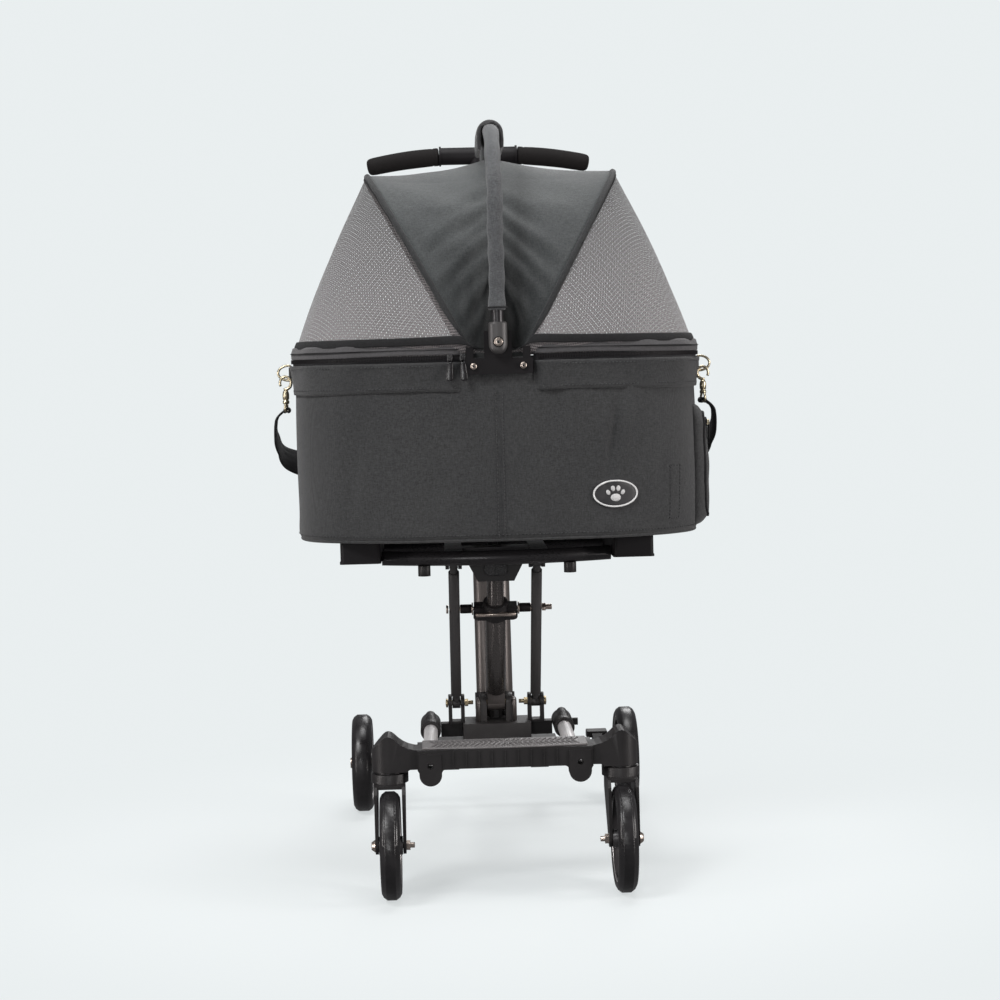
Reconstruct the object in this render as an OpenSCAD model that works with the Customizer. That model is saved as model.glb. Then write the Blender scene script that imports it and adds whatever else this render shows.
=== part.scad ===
// Pet stroller: a folding frame with a lift-off soft carrier.
// X to the right, Y to the back, Z up. The origin is on the floor, under the middle.

/* [Wheels] */
// Front wheel diameter
front_wheel_d = 140; // [134:2:140]
// Rear wheel diameter
rear_wheel_d = 150; // [140:2:160]
// Front tyre width
front_tyre_w = 26; // [22:1:28]
// Rear tyre width
rear_tyre_w = 30; // [26:1:32]
// Distance between the two front swivel axes
caster_track = 304; // [300:2:308]
// Distance between the middles of the rear wheels
rear_track = 412; // [408:2:420]
// How far the front axle lies ahead of its swivel axis
trail = 38; // [34:1:40]

/* [Base frame] */
// Front swivel axis, along Y
swivel_y = -248; // [-252:1:-244]
// Rear axle, along Y
rear_axle_y = 250; // [246:1:260]
// Top of the step
tread_z = 190; // [188:1:192]
// Diameter of the light side tubes
side_tube_d = 20; // [18:1:20]
// Distance between the side tubes
tube_spacing = 196; // [194:2:198]

/* [Folding support] */
// Diameter of the main post below the collar
post_d = 31; // [26:0.5:31]
// Diameter of the two tie rods
rod_d = 15.5; // [14:0.5:16]
// Distance between the tie rods
rod_spacing = 118; // [116:1:120]
// Pivot at the foot of the post, along Y and Z
foot_pivot = [100, 190];
// Pivot at the head of the post, along Y and Z
head_pivot = [-33, 412];

/* [Handle] */
// Stem pivot, along Y and Z
stem_pivot = [150, 168];
// Middle of the cross handle, along Y and Z
handle_mid = [341, 1022];
// Width of the oval stem
stem_w = 55; // [50:1:56]
// Depth of the oval stem
stem_d = 28; // [27:0.5:28.5]
// Overall length of the cross handle
handle_len = 357; // [340:1:370]

/* [Carrier] */
// Width of the carrier body
carrier_w = 556; // [540:2:560]
// Depth of the carrier body
carrier_d = 320; // [316:1:320]
// Underside of the carrier
carrier_z = 454; // [454:0.5:455]
// Top of the carrier's rim
rim_z = 700; // [696:1:702]
// How far the carrier sits to the right of the frame's middle
carrier_x = 6; // [0:1:6]
// Top of the canopy hoops
hoop_z = 953; // [940:1:955]
// Top of the canopy in the middle
canopy_z = 976; // [965:1:978]
// Middle of the bail's grip
bail_z = 1008; // [1005:1:1010]

/* [Hidden] */
$fn = 48;
hull_fn = 32;
eps = 0.01;
run_fit = 0.06;
gap = 0.4;

front_r = front_wheel_d/2;
rear_r = rear_wheel_d/2;
front_axle_y = swivel_y - trail;
swivel_x = caster_track/2;
rear_x = rear_track/2;
tube_r = side_tube_d/2;
tube_x = tube_spacing/2;
tube_z = 158;
lobe_z = 157.7;
lobe_r = 14.8;
rod_x = rod_spacing/2;

// The step bumper
bumper_front = -272;
bumper_back = -208;
bumper_wall = 18;
bumper_under = 162;
bumper_low = 165;
swivel_bore_r = 5.06;
swivel_stem_r = 5;
swivel_stem_top = 190;

// The post's lean and length follow from its two pivots
post_run = [head_pivot[0] - foot_pivot[0], head_pivot[1] - foot_pivot[1]];
post_len = norm(post_run);
post_lean = atan2(-post_run[0], post_run[1]);
collar_at = 176;
pin_r = 4;

// The levelling link runs parallel to the post, behind and above it
link_shift = [14, 22];
link_r = 2.5;
link_clear_r = 3.1;

// The stem's lean and length follow from its pivot and the handle
stem_run = [handle_mid[0] - stem_pivot[0], handle_mid[1] - stem_pivot[1]];
stem_len = norm(stem_run);
stem_lean = atan2(stem_run[0], stem_run[1]);
stem_top = 470;
inner_r = 11;
inner_low = 300;
neck_low = 836;
barrel_r = 13.5;
barrel_half = 61.5;
grip_r = 14.3;
grip_droop = 6;

// The platform under the carrier
plat_y = head_pivot[0];
plat_z = 428;
plat_tube_r = 10;
plat_bow_r = 360;
plat_front = -140;
pad_x = 186;
pad_w = 54;

// The carrier's outline is a rounded box whose sides bow
half_w = carrier_w/2;
half_d = carrier_d/2;
outline_power = 2.9;
outline_steps = 56;
wall = 4;

// The canopy
hinge_x = 38;
hinge_z = 709;
hoop_top_x = 171;
hoop_half = half_d - 3;
hoop_wire_r = 4.5;
hoop_lean = atan2(hoop_top_x - hinge_x, hoop_z - hinge_z);
hoop_len = norm([hoop_top_x - hinge_x, hoop_z - hinge_z]);
hoop_power = 2.4;
mesh_low = 704;
mesh_bulge = 8;
cloth = 2;
canopy_steps = 20;
foot_angle = 6;

// The bail
bail_pivot_z = 720;
bail_half = 176;
bail_bend = 120;
bail_tube_r = 8;

// ---- Helpers ----

// Copies of a shape on the left and on the right, mirrored
module both_sides() {
    children();
    mirror([1, 0, 0]) children();
}

// A cylinder along X, centred, at a point in the YZ plane
module pin_x(at, r, len, x = 0) {
    translate([x, at[0], at[1]]) rotate([0, 90, 0]) cylinder(r = r, h = len, center = true);
}

// A cylinder along Y from one Y to another
module rod_y(x, z, r, from, to) {
    translate([x, to, z]) rotate([90, 0, 0]) cylinder(r = r, h = to - from);
}

// A side profile in (Y, Z), extruded along X between two X values
module side_plate(x0, x1) {
    translate([x0, 0, 0]) rotate([90, 0, 90]) linear_extrude(x1 - x0) children();
}

// A rounded rectangle centred on the origin
module rounded(w, d, r) {
    square([w - 2*r, d], center = true);
    square([w, d - 2*r], center = true);
    for (x = [-1, 1], y = [-1, 1]) translate([x*(w/2 - r), y*(d/2 - r)]) circle(r);
}

// The post's own frame: Z runs along the post from its foot pivot
module post_frame() {
    translate([0, foot_pivot[0], foot_pivot[1]]) rotate([post_lean, 0, 0]) children();
}

// The stem's own frame: Z runs along the stem from its pivot
module stem_frame() {
    translate([0, stem_pivot[0], stem_pivot[1]]) rotate([-stem_lean, 0, 0]) children();
}

// The carrier's own place on the frame
module carrier_frame() {
    translate([carrier_x, plat_y, 0]) children();
}

// A power curve: signed power of a sine or cosine
function spow(v, p) = sign(v)*pow(abs(v), p);

// The carrier's outline, grown by g
function outline(g) = [for (i = [0:outline_steps - 1]) let (a = 360*i/outline_steps)
    [(half_w + g)*spow(cos(a), 2/outline_power), (half_d + g)*spow(sin(a), 2/outline_power)]];
module outline_plate(g, z0, z1) {
    translate([0, 0, z0]) linear_extrude(z1 - z0) polygon(outline(g));
}

// ---- Base frame ----

// The swivel housing's top sweeps down over bars along Y to the end of the step
// The housing's front outline, outwards from the swivel: outer wall, cap, sweep down to the step
housing_curve = [[23, 162], [23, 189], [20.5, 193], [8, 206], [4.5, 208.6], [1, 209.4], [-2.5, 208.6],
    [-6.5, 206], [-12, 200.8], [-18, 196.4], [-25, 193], [-33, 190.9], [-42.9, 190], [-42.9, 165],
    [-27, 165], [-22, 162]];
module bumper_housing() intersection() {
    translate([0, swivel_y + 23, 0]) rotate([90, 0, 0]) linear_extrude(46) translate([swivel_x, 0])
        polygon(housing_curve);
    translate([swivel_x, swivel_y, 150]) linear_extrude(70) hull() {
        circle(23, $fn = 64);
        translate([-42.9, -20]) square([20, 40]);
    }
}

// Where the side tubes end, a rounded lobe hangs below the step's front
module lobes(r) both_sides() translate([tube_x, lobe_z]) {
    circle(r);
    translate([-r, 0]) square([2*r, 28]);
}

module step_bumper() color("#3c3a3c") difference() {
    union() {
        both_sides() bumper_housing();
        translate([0, bumper_front + bumper_wall, 0]) rotate([90, 0, 0]) linear_extrude(bumper_wall)
            offset(r = -6) offset(delta = 6) {
                translate([-115, bumper_low]) square([230, tread_z - bumper_low]);
                lobes(lobe_r);
            }
        translate([0, bumper_front, 0]) rotate([90, 0, 0]) linear_extrude(2) lobes(lobe_r - 0.4);
        translate([-115, bumper_front, 184]) cube([230, bumper_back - bumper_front, tread_z - 184]);
        for (i = [-4:4]) translate([i*17 - 0.8, bumper_front - 1.5, 167]) cube([1.6, 2, 21]);
    }
    both_sides() {
        translate([swivel_x, swivel_y, bumper_under - 1])
            cylinder(r = swivel_bore_r, h = swivel_stem_top + 3 - bumper_under);
        rod_y(tube_x, lobe_z + 12, 4, bumper_front - 3, bumper_front + bumper_wall);
    }
}

module step_tread() color("#454345") translate([0, 0, tread_z]) linear_extrude(2.5) intersection() {
    translate([-108.6, bumper_front + 1]) square([217.2, bumper_back - bumper_front - 3]);
    translate([0, bumper_front + 901]) circle(900, $fn = 240);
}

module side_tubes() color("#c8c6cd") both_sides() difference() {
    rod_y(tube_x, tube_z, tube_r, bumper_front + bumper_wall, 116);
    rod_y(tube_x, tube_z, tube_r - 1.5, bumper_front, 117);
}

module tube_collars() color("#373537") {
    both_sides() difference() {
        union() {
            rod_y(tube_x, tube_z, 15, 46, 120);
            hull() {
                rod_y(tube_x, tube_z, 13, 60, 118, $fn = hull_fn);
                rod_y(tube_x, tube_z + 11, 8, 78, 112, $fn = hull_fn);
            }
        }
        rod_y(tube_x, tube_z, tube_r + 0.05, 40, 116);
    }
    translate([tube_x + 14, 91, tube_z - 5]) cube([9, 6, 10]);
}

module crossbar() color("#3c3a3c") difference() {
    translate([-82.9, 96, tube_z - 18]) cube([165.8, 18, 20]);
    translate([-50, 90, tube_z - 22]) cube([100, 30, 30]);
}

// Block that carries the post's pivot, the link's pivot and the stem's tongue
module centre_block() color("#3c3a3c") difference() {
    union() {
        translate([-50, 66, 131.4]) cube([100, 66, 31.6]);
        translate([-48, 72, 104]) cube([96, 14, 28]);
        both_sides() side_plate(14.3, 24) {
            translate([foot_pivot[0] - 13, 162]) square([26, foot_pivot[1] - 162]);
            translate([foot_pivot[0], foot_pivot[1]]) circle(13);
        }
        both_sides() side_plate(4.5, 9.5) polygon([[121.1, 162], [130, 162], [122, 215], [110, 218],
            [109, 209]]);
        side_plate(-10, 10) {
            translate([128, 156]) square([16, 18]);
            translate([stem_pivot[0], stem_pivot[1]]) circle(12);
        }
    }
    pin_x(foot_pivot, pin_r + run_fit, 60);
    pin_x(stem_pivot, pin_r + run_fit, 40);
    pin_x(foot_pivot + link_shift, link_r + run_fit, 30);
}

// Pairs of ears that hold the feet of the tie rods
module rod_clevises() color("#373537") both_sides() difference() {
    union() {
        translate([rod_x - 8.9, 88, tube_z + 2 + eps]) cube([20.9, 24, 4]);
        for (s = [-1, 1]) side_plate(rod_x + s*9.25 - 2.75, rod_x + s*9.25 + 2.75) {
            translate([foot_pivot[0] - 12, tube_z + 5.1]) square([24, foot_pivot[1] - tube_z - 5.1]);
            translate([foot_pivot[0], foot_pivot[1]]) circle(13);
        }
    }
    pin_x(foot_pivot, pin_r + run_fit, 40, rod_x);
}

// Pivot pins and bolts held by the frame
module frame_bolts() color("#b4966e") {
    pin_x(foot_pivot, pin_r, 50);
    pin_x(stem_pivot, pin_r, 59);
    pin_x(foot_pivot + link_shift, link_r, 19.4);
    both_sides() {
        pin_x(foot_pivot, pin_r, 32, rod_x);
        pin_x(foot_pivot, 6.5, 3, rod_x + 14);
        pin_x(foot_pivot, 5.5, 5, rod_x - 15, $fn = 6);
        pin_x(foot_pivot, 3, 10, rod_x - 20);
    }
    rod_y(tube_x + 18.6, tube_z, 3.5, 97.1, 104);
}

module rear_beam() color("#373537") difference() {
    translate([-90, 118, 104]) cube([180, 30, 27]);
    translate([-82, 124, 110]) cube([164, 25, 15]);
}

module rear_legs() color("#373537") both_sides() difference() {
    side_plate(56, 84) {
        polygon([[147, 131], [128, 131], [128, 104], [147, 104], [rear_axle_y - 10, 61],
            [rear_axle_y + 12, 70], [rear_axle_y + 8, 87]]);
        translate([rear_axle_y, rear_r]) circle(14);
    }
    pin_x([rear_axle_y, rear_r], 8 + 0.05, 40, 70);
    translate([50, 117, 103]) cube([40, 31.2, 30]);
}

module rear_axle() color("#55555a") {
    pin_x([rear_axle_y, rear_r], 8, 2*(rear_x - rear_tyre_w/2 - 4));
    pin_x([rear_axle_y, rear_r], 5, 2*(rear_x + rear_tyre_w/2 + 2));
    both_sides() pin_x([rear_axle_y, rear_r], 8, 3, rear_x + rear_tyre_w/2 + 3.2);
}

// Foot pedal that turns on the rear axle tube
module brake_pedal() color("#2f2d2f") difference() {
    union() {
        pin_x([rear_axle_y, rear_r], 12, 22, 164);
        side_plate(156, 172) polygon([[rear_axle_y - 8, 82], [rear_axle_y + 8, 68],
            [rear_axle_y + 40, 98], [rear_axle_y + 30, 106]]);
        side_plate(148, 180) polygon([[rear_axle_y + 28, 98], [rear_axle_y + 58, 96],
            [rear_axle_y + 60, 102], [rear_axle_y + 54, 108], [rear_axle_y + 28, 108]]);
    }
    pin_x([rear_axle_y, rear_r], 8 + run_fit, 60, 164);
}

// ---- Casters and wheels ----

module caster_fork() color("#373537") difference() {
    union() {
        translate([swivel_x, swivel_y, 147]) cylinder(r = 24.5, h = 12);
        translate([swivel_x, swivel_y, 159]) cylinder(r = 19, h = bumper_under - 159 - gap);
        translate([swivel_x, swivel_y, 159]) cylinder(r = swivel_stem_r, h = swivel_stem_top - 159);
        translate([swivel_x - 20, swivel_y - 37, 143]) cube([40, 59, 4]);
        for (s = [-1, 1]) side_plate(swivel_x + s*18 - 2, swivel_x + s*18 + 2) {
            polygon([[swivel_y + 24, 146.5], [swivel_y - 38, 146.5], [swivel_y - 46, 138],
                [front_axle_y - 11, front_r + 2], [front_axle_y + 8, front_r - 7],
                [swivel_y + 24, 126]]);
            translate([front_axle_y, front_r]) circle(11);
        }
    }
    pin_x([front_axle_y, front_r], pin_r + 0.05, 60, swivel_x);
}

module caster_axle() color("#b4966e") {
    pin_x([front_axle_y, front_r], pin_r, 46, swivel_x);
    translate([swivel_x + 20.2, front_axle_y, front_r]) rotate([0, 90, 0])
        cylinder(r1 = 8.5, r2 = 5, h = 5);
    pin_x([front_axle_y, front_r], 6.5, 5, swivel_x - 22.7, $fn = 6);
    pin_x([front_axle_y, front_r], 3.5, 8, swivel_x - 27);
}

// A tyre round the X axis: r outside, rim_r inside, w wide, with a rounded crown
module tyre(r, rim_r, w) color("#3c3c3e") rotate([0, 90, 0]) rotate_extrude($fn = 96)
    polygon([[rim_r, -w/2 + 2], [rim_r + 3, -w/2], [r - 8, -w/2], [r - 3.5, -w/2 + 2.5],
        [r - 1, -w/2 + 6], [r, -w/4], [r, w/4], [r - 1, w/2 - 6], [r - 3.5, w/2 - 2.5],
        [r - 8, w/2], [rim_r + 3, w/2], [rim_r, w/2 - 2]]);

// A spoked rim round the X axis, with a hub of half-width hub_half
module rim(rim_r, w, hub_r, hub_half, bore_r) color("#403e40") rotate([0, 90, 0]) difference() {
    union() {
        rotate_extrude($fn = 96) polygon([[rim_r - 6, -w/2], [rim_r, -w/2], [rim_r, w/2],
            [rim_r - 6, w/2], [rim_r - 3, 0]]);
        cylinder(r = hub_r, h = 2*hub_half, center = true);
        for (a = [0:72:359]) rotate(a) translate([hub_r - 2, -4.5, -w/2 + 4])
            cube([rim_r - hub_r - 2, 9, w - 8]);
    }
    cylinder(r = bore_r, h = 3*hub_half, center = true);
}

module at_front_wheel() translate([swivel_x, front_axle_y, front_r]) children();
module at_rear_wheel() translate([rear_x, rear_axle_y, rear_r]) children();
module front_tyre() at_front_wheel() tyre(front_r, front_r - 13, front_tyre_w);
module front_rim() at_front_wheel() rim(front_r - 13, front_tyre_w - 4, 12, 15.4, pin_r + run_fit);
module rear_tyre() at_rear_wheel() tyre(rear_r, rear_r - 14, rear_tyre_w);
module rear_rim() at_rear_wheel() rim(rear_r - 14, rear_tyre_w - 4, 14, 16.4, 5 + run_fit);

// ---- Folding support ----

module post_foot() color("#6e6866") difference() {
    union() {
        pin_x(foot_pivot, 12, 26);
        post_frame() translate([-13, -11, 0]) cube([26, 22, 24]);
    }
    pin_x(foot_pivot, pin_r + run_fit, 60);
}

module main_post() color("#2c2a2c") difference() {
    post_frame() union() {
        translate([0, 0, 24]) cylinder(r = post_d/2 - 0.8, h = collar_at - 24);
        translate([0, 0, collar_at]) cylinder(r = 12, h = post_len - 12 - collar_at);
        translate([-11, -10, post_len - 14]) cube([22, 20, 14]);
        translate([0, 0, post_len]) rotate([0, 90, 0]) cylinder(r = 10, h = 22, center = true);
    }
    pin_x(head_pivot, pin_r + run_fit, 60);
    post_frame() translate([0, 0, collar_at]) rotate([0, 90, 0])
        cylinder(r = 3.05, h = 60, center = true);
}

module tie_rods() color("#4b4a4c") both_sides() difference() {
    union() {
        post_frame() translate([rod_x, 0, 16]) cylinder(r = rod_d/2, h = post_len - 32);
        post_frame() translate([rod_x, 0, 0]) cylinder(r = 5.6, h = post_len);
        for (p = [foot_pivot, head_pivot]) pin_x(p, 8, 12, rod_x);
    }
    for (p = [foot_pivot, head_pivot]) pin_x(p, pin_r + run_fit, 60, rod_x);
    post_frame() translate([rod_x, 0, collar_at]) rotate([0, 90, 0])
        cylinder(r = 3.05, h = 60, center = true);
}

module yoke_collar() color("#2c2a2c") post_frame() translate([0, 0, collar_at]) difference() {
    union() {
        translate([0, 0, -14]) cylinder(r = 17.6, h = 26);
        hull() for (x = [-24, 24]) translate([x, -4, -13]) cylinder(r = 8, h = 10, $fn = hull_fn);
        translate([-31, -8, -6]) cube([62, 16, 12]);
    }
    translate([0, 0, -20]) cylinder(r = post_d/2 - 0.7, h = 20);
    cylinder(r = 12.1, h = 20);
    rotate([0, 90, 0]) cylinder(r = 3.05, h = 80, center = true);
}

module cross_pin() color("#8c7a66") post_frame() translate([0, 0, collar_at]) {
    translate([-66, 0, 0]) rotate([0, 90, 0]) cylinder(r = 3, h = 142);
    translate([-71, 0, 0]) rotate([0, 90, 0]) cylinder(r = 6, h = 3.2);
    translate([67.2, 0, 0]) rotate([0, 90, 0]) cylinder(r = 6, h = 5, $fn = 6);
    translate([72.2, 0, 0]) rotate([0, 90, 0]) cylinder(r = 4, h = 9);
    for (s = [-1, 1]) {
        translate([s*42.2, 0, 0]) rotate([0, 90, 0]) cylinder(r = 6, h = 17.6, center = true);
        translate([s*33.2, 0, 0]) rotate([0, 90, 0]) cylinder(r = 9, h = 1.8, center = true);
    }
}

module levelling_link() color("#4b4a4c") difference() {
    union() {
        for (p = [foot_pivot, head_pivot]) pin_x(p + link_shift, 5.5, 8);
        translate([0, link_shift[0], link_shift[1]]) post_frame()
            translate([-4, -4.5, 0]) cube([8, 9, post_len]);
    }
    pin_x(foot_pivot + link_shift, link_r + run_fit, 20);
    pin_x(head_pivot + link_shift, link_clear_r, 20);
}

// ---- Platform ----

// A bowed tube: an arc of a large ring, clipped to the space between the pads
module bowed_tube() intersection() {
    translate([0, plat_front + plat_bow_r, plat_z]) rotate_extrude($fn = 180)
        translate([plat_bow_r, 0]) circle(plat_tube_r);
    translate([-pad_x + pad_w/2 + 1.1, plat_front - 20, plat_z - 20])
        cube([2*pad_x - pad_w - 2.2, 110, 40]);
}

module platform_frame() color("#373537") difference() {
    union() {
        bowed_tube();
        translate([0, 2*plat_y, 0]) mirror([0, 1, 0]) bowed_tube();
        both_sides() {
            translate([rod_x - 12, -128, 422.4]) cube([24, 190, 14]);
            for (s = [-1, 1]) side_plate(rod_x + s*9 - 2.6, rod_x + s*9 + 2.6) {
                translate([plat_y - 9, head_pivot[1]]) square([18, 12]);
                translate([head_pivot[0], head_pivot[1]]) circle(9);
            }
            side_plate(4.5, 9.5) {
                translate([head_pivot[0] + link_shift[0], head_pivot[1] + link_shift[1]]) circle(7);
                translate([-32, 425]) square([12, 11]);
            }
        }
        translate([-50, -60, 424.4]) cube([100, 35, 11]);
        pin_x(head_pivot + link_shift, link_r, 19);
        both_sides() pin_x(head_pivot, pin_r, 26, rod_x);
        pin_x(head_pivot, pin_r, 2*rod_x - 26);
    }
    translate([-200, -200, 439]) cube([400, 400, 20]);
}

module platform_pads() color("#2c2a2c") both_sides() difference() {
    union() {
        translate([pad_x, plat_y, 428]) linear_extrude(carrier_z - 428 - gap) rounded(pad_w, 236, 5);
        translate([pad_x, plat_y, 425]) linear_extrude(3) rounded(pad_w + 2, 238, 5);
    }
    translate([pad_x - 20, plat_y - 100, 424]) cube([40, 200, 14]);
}

module button_outline(g) hull() for (x = [-8, 8]) translate([x, 0]) circle(8.5 + g, $fn = hull_fn);

module latch_block() color("#373537") difference() {
    rotate([90, 0, 0]) translate([0, 0, -(plat_y + 14)]) linear_extrude(40)
        polygon([[-25.5, 387], [25.5, 387], [37.5, 410], [37.5, 424], [-37.5, 424], [-37.5, 410]]);
    translate([-12.8, plat_y - 14, 380]) cube([25.6, 60, 50]);
    translate([0, plat_y - 18.5, 404]) rotate([90, 0, 0]) linear_extrude(20) button_outline(0.5);
    pin_x(head_pivot, pin_r + run_fit, 100);
}

module release_button() color("#201e20") translate([0, plat_y - 22, 404]) rotate([90, 0, 0])
    linear_extrude(6) button_outline(0);

module strap_posts() color("#373537") both_sides()
    translate([100, -125, 404]) cylinder(r = 8.5, h = 14);

// ---- Handle ----

module stem_oval(w, d) rounded(w, d, d/2 - eps);

module stem_sleeve() color("#6e6866") stem_frame() difference() {
    union() {
        translate([0, 0, 2]) linear_extrude(26) stem_oval(60, 32);
        rotate([0, 90, 0]) cylinder(r = 15, h = 44, center = true);
    }
    translate([-10.5, -30, -30]) cube([21, 43, 50]);
    translate([0, 0, 20]) linear_extrude(20) stem_oval(stem_w + 0.1, stem_d + 0.1);
    rotate([0, 90, 0]) cylinder(r = pin_r + run_fit, h = 80, center = true);
}

module stem_tube() color("#6e6866") stem_frame() difference() {
    translate([0, 0, 20]) linear_extrude(stem_top - 20) stem_oval(stem_w, stem_d);
    translate([0, 0, 24]) linear_extrude(stem_top) stem_oval(stem_w - 4, stem_d - 4);
}

module clamp_collar() color("#2f2d2f") stem_frame() difference() {
    translate([0, 0, stem_top - 22]) linear_extrude(44) stem_oval(stem_w + 9, stem_d + 9);
    translate([0, 0, stem_top - 30]) linear_extrude(30) stem_oval(stem_w + 0.1, stem_d + 0.1);
    cylinder(r = inner_r + run_fit, h = stem_top + 40);
}

module inner_tube() color("#6e6866") stem_frame() difference() {
    translate([0, 0, inner_low]) cylinder(r = inner_r, h = neck_low - inner_low + 12);
    translate([0, 0, inner_low - 1]) cylinder(r = inner_r - 2, h = neck_low - inner_low);
}

module grip_side(s) translate([s*barrel_half, handle_mid[0], handle_mid[1]])
    rotate([0, s*(90 + grip_droop), 0]) children();

module handle_bar() color("#373537") difference() {
    union() {
        pin_x(handle_mid, barrel_r, 2*barrel_half);
        both_sides() pin_x(handle_mid, barrel_r + 2, 3, barrel_half - 1.5);
        stem_frame() translate([0, 0, neck_low]) cylinder(r = 12.8, h = stem_len - neck_low);
        for (s = [-1, 1]) grip_side(s) cylinder(r = 9, h = handle_len/2 - barrel_half - 6);
    }
    stem_frame() translate([0, 0, neck_low - 1]) cylinder(r = inner_r + 0.05, h = 13.2);
    stem_frame() translate([0, -6, neck_low + 17]) rotate([90, 0, 0]) cylinder(r = 4.4, h = 12);
}

module height_button() color("#201e20") stem_frame() translate([0, -8.4, neck_low + 17])
    rotate([90, 0, 0]) cylinder(r = 4, h = 7);

module grip(s) color("#2a292b") grip_side(s) difference() {
    union() {
        translate([0, 0, 1.6]) cylinder(r = grip_r, h = handle_len/2 - barrel_half - 11);
        translate([0, 0, handle_len/2 - barrel_half - 9.5]) cylinder(r1 = grip_r, r2 = 10, h = 6);
    }
    translate([0, 0, -1]) cylinder(r = 9.05, h = handle_len/2 - barrel_half - 4.9);
}

// ---- Carrier ----

module carrier_shell() color("#464849") carrier_frame() difference() {
    outline_plate(0, carrier_z, rim_z);
    outline_plate(-wall, carrier_z + 3, rim_z + 1);
}

module base_board() color("#5a5450") carrier_frame()
    outline_plate(-wall - 1, carrier_z + 3, carrier_z + 8);

module cushion() color("#6c6e72") carrier_frame()
    outline_plate(-wall - 5, carrier_z + 8 + gap, carrier_z + 34);

module rim_frame() color("#2c2c2e") carrier_frame() difference() {
    outline_plate(3, rim_z - 10, rim_z + 3);
    outline_plate(0.1, rim_z - 11, rim_z + 4);
}

bracket_y = half_d + 3.4;
module front_bracket() {
    translate([-46, -bracket_y - 6, 678]) cube([92, 6, 21]);
    translate([-18.5, -bracket_y - 4.4, 698]) cube([37, 3.4, 37]);
    for (x = [-hinge_x, hinge_x]) {
        translate([x - 5, -bracket_y - 5, 698]) cube([10, 4, 16]);
        rod_y(x, hinge_z, 2.5, -bracket_y - 2, -half_d + 7);
    }
    for (x = [-33, 33]) rod_y(x, 688.5, 4, -bracket_y - 8, -bracket_y - 5);
    rod_y(0, bail_pivot_z, 4, -bracket_y - 22, -bracket_y - 2);
    rod_y(0, bail_pivot_z, 7, -bracket_y - 24, -bracket_y - 20.2);
}

module hoop_brackets() color("#232224") carrier_frame() {
    front_bracket();
    mirror([0, 1, 0]) front_bracket();
}

module side_pocket() color("#3a3b3d") carrier_frame() difference() {
    translate([262, 0, carrier_z + 8]) linear_extrude(166) translate([18, 0]) rounded(36, 140, 8);
    outline_plate(0.3, carrier_z, rim_z);
}

ring_x = half_w + 16;
module d_rings() color("#a08c64") carrier_frame() both_sides() {
    translate([ring_x, 0, 686]) rotate([90, 0, 0]) rotate_extrude() translate([10, 0]) circle(1.75);
    translate([half_w + 3.4, -10, 670]) cube([4, 20, 18]);
}

module snap_hooks() color("#a08c64") carrier_frame() both_sides() translate([ring_x, 0, 0]) {
    translate([0, 0, 672]) rotate([0, 90, 0]) rotate_extrude() translate([8, 0]) circle(2.1);
    translate([0, 0, 643]) cylinder(r = 4.5, h = 20);
    translate([4, 0, 654]) sphere(3.5);
    translate([0, 21, 640]) rotate([90, 0, 0]) cylinder(r = 2.5, h = 42);
}

function unit(v) = v/norm(v);
function tangent(p, i) = unit(p[min(i + 1, len(p) - 1)] - p[max(i - 1, 0)]);

// A closed skin over rings of points, each ring with the same number of points
module ringed(rings) {
    n = len(rings[0]);
    m = len(rings);
    polyhedron(
        points = [for (ring = rings) each ring],
        faces = concat(
            [[for (j = [0:n - 1]) j]],
            [for (i = [0:m - 2], j = [0:n - 1])
                [i*n + j, (i + 1)*n + j, (i + 1)*n + (j + 1)%n, i*n + (j + 1)%n]],
            [[for (j = [n - 1:-1:0]) (m - 1)*n + j]]));
}

// Half of the shoulder strap's route, from the hook to the middle of the back
strap_half = [[ring_x, 0, 635.5], [ring_x + 12, 0, 624], [ring_x + 16, 10, 606], [ring_x + 16, 42, 586],
    [ring_x + 7, 90, 562],
    [255, 140, 545], [190, 166, 532], [100, 175, 524]];
strap_path = concat([for (p = strap_half) [-p[0], p[1], p[2]]], [[0, 177, 520]],
    [for (i = [len(strap_half) - 1:-1:0]) strap_half[i]]);
strap_w = 38;
strap_t = 2.4;

// The strap's width turns from level at the hooks to upright behind the carrier
module shoulder_strap() color("#2c2c2e") carrier_frame() ringed([
    for (i = [0:len(strap_path) - 1]) let (
        p = strap_path[i],
        turn = 90*min(1, max(0, p[1]/150)),
        t = tangent(strap_path, i),
        across = unit([0, cos(turn), sin(turn)] - t*(t*[0, cos(turn), sin(turn)])),
        up = cross(t, across)*strap_t/2,
        side = across*strap_w/2)
        [p - side + up, p + side + up, p + side - up, p - side - up]]);

// ---- Canopy ----

// A point on the left hoop at angle a, from 0 at the front foot to 180 at the back foot
function hoop_point(a) = let (h = hoop_len*spow(sin(a), 2/hoop_power))
    [-hinge_x - h*sin(hoop_lean), -hoop_half*spow(cos(a), 2/hoop_power),
        hinge_z + h*cos(hoop_lean)];
function crown_point(a) = [-0.4, -hoop_half*spow(cos(a), 2/hoop_power),
    mesh_low + (canopy_z - mesh_low)*spow(sin(a), 2/hoop_power)];
function rim_point(a) = [-(half_w + 2)*spow(sin(a), 2/outline_power),
    -(half_d + 2)*spow(cos(a), 2/outline_power), mesh_low];
function canopy_angle(i) = foot_angle/2 + (180 - foot_angle)*i/canopy_steps;

// A thin closed shell between two curves, bulged outwards and thickened towards a middle point
module cloth_shell(from, to, rows, bulge, middle) ringed([
    for (i = [0:len(from) - 1]) let (
        line = [for (j = [0:rows]) let (
            s = j/rows,
            p = from[i]*(1 - s) + to[i]*s)
            p + unit(p - middle)*bulge*4*s*(1 - s)])
        concat(line, [for (j = [rows:-1:0]) line[j] - unit(line[j] - middle)*cloth])]);

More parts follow.
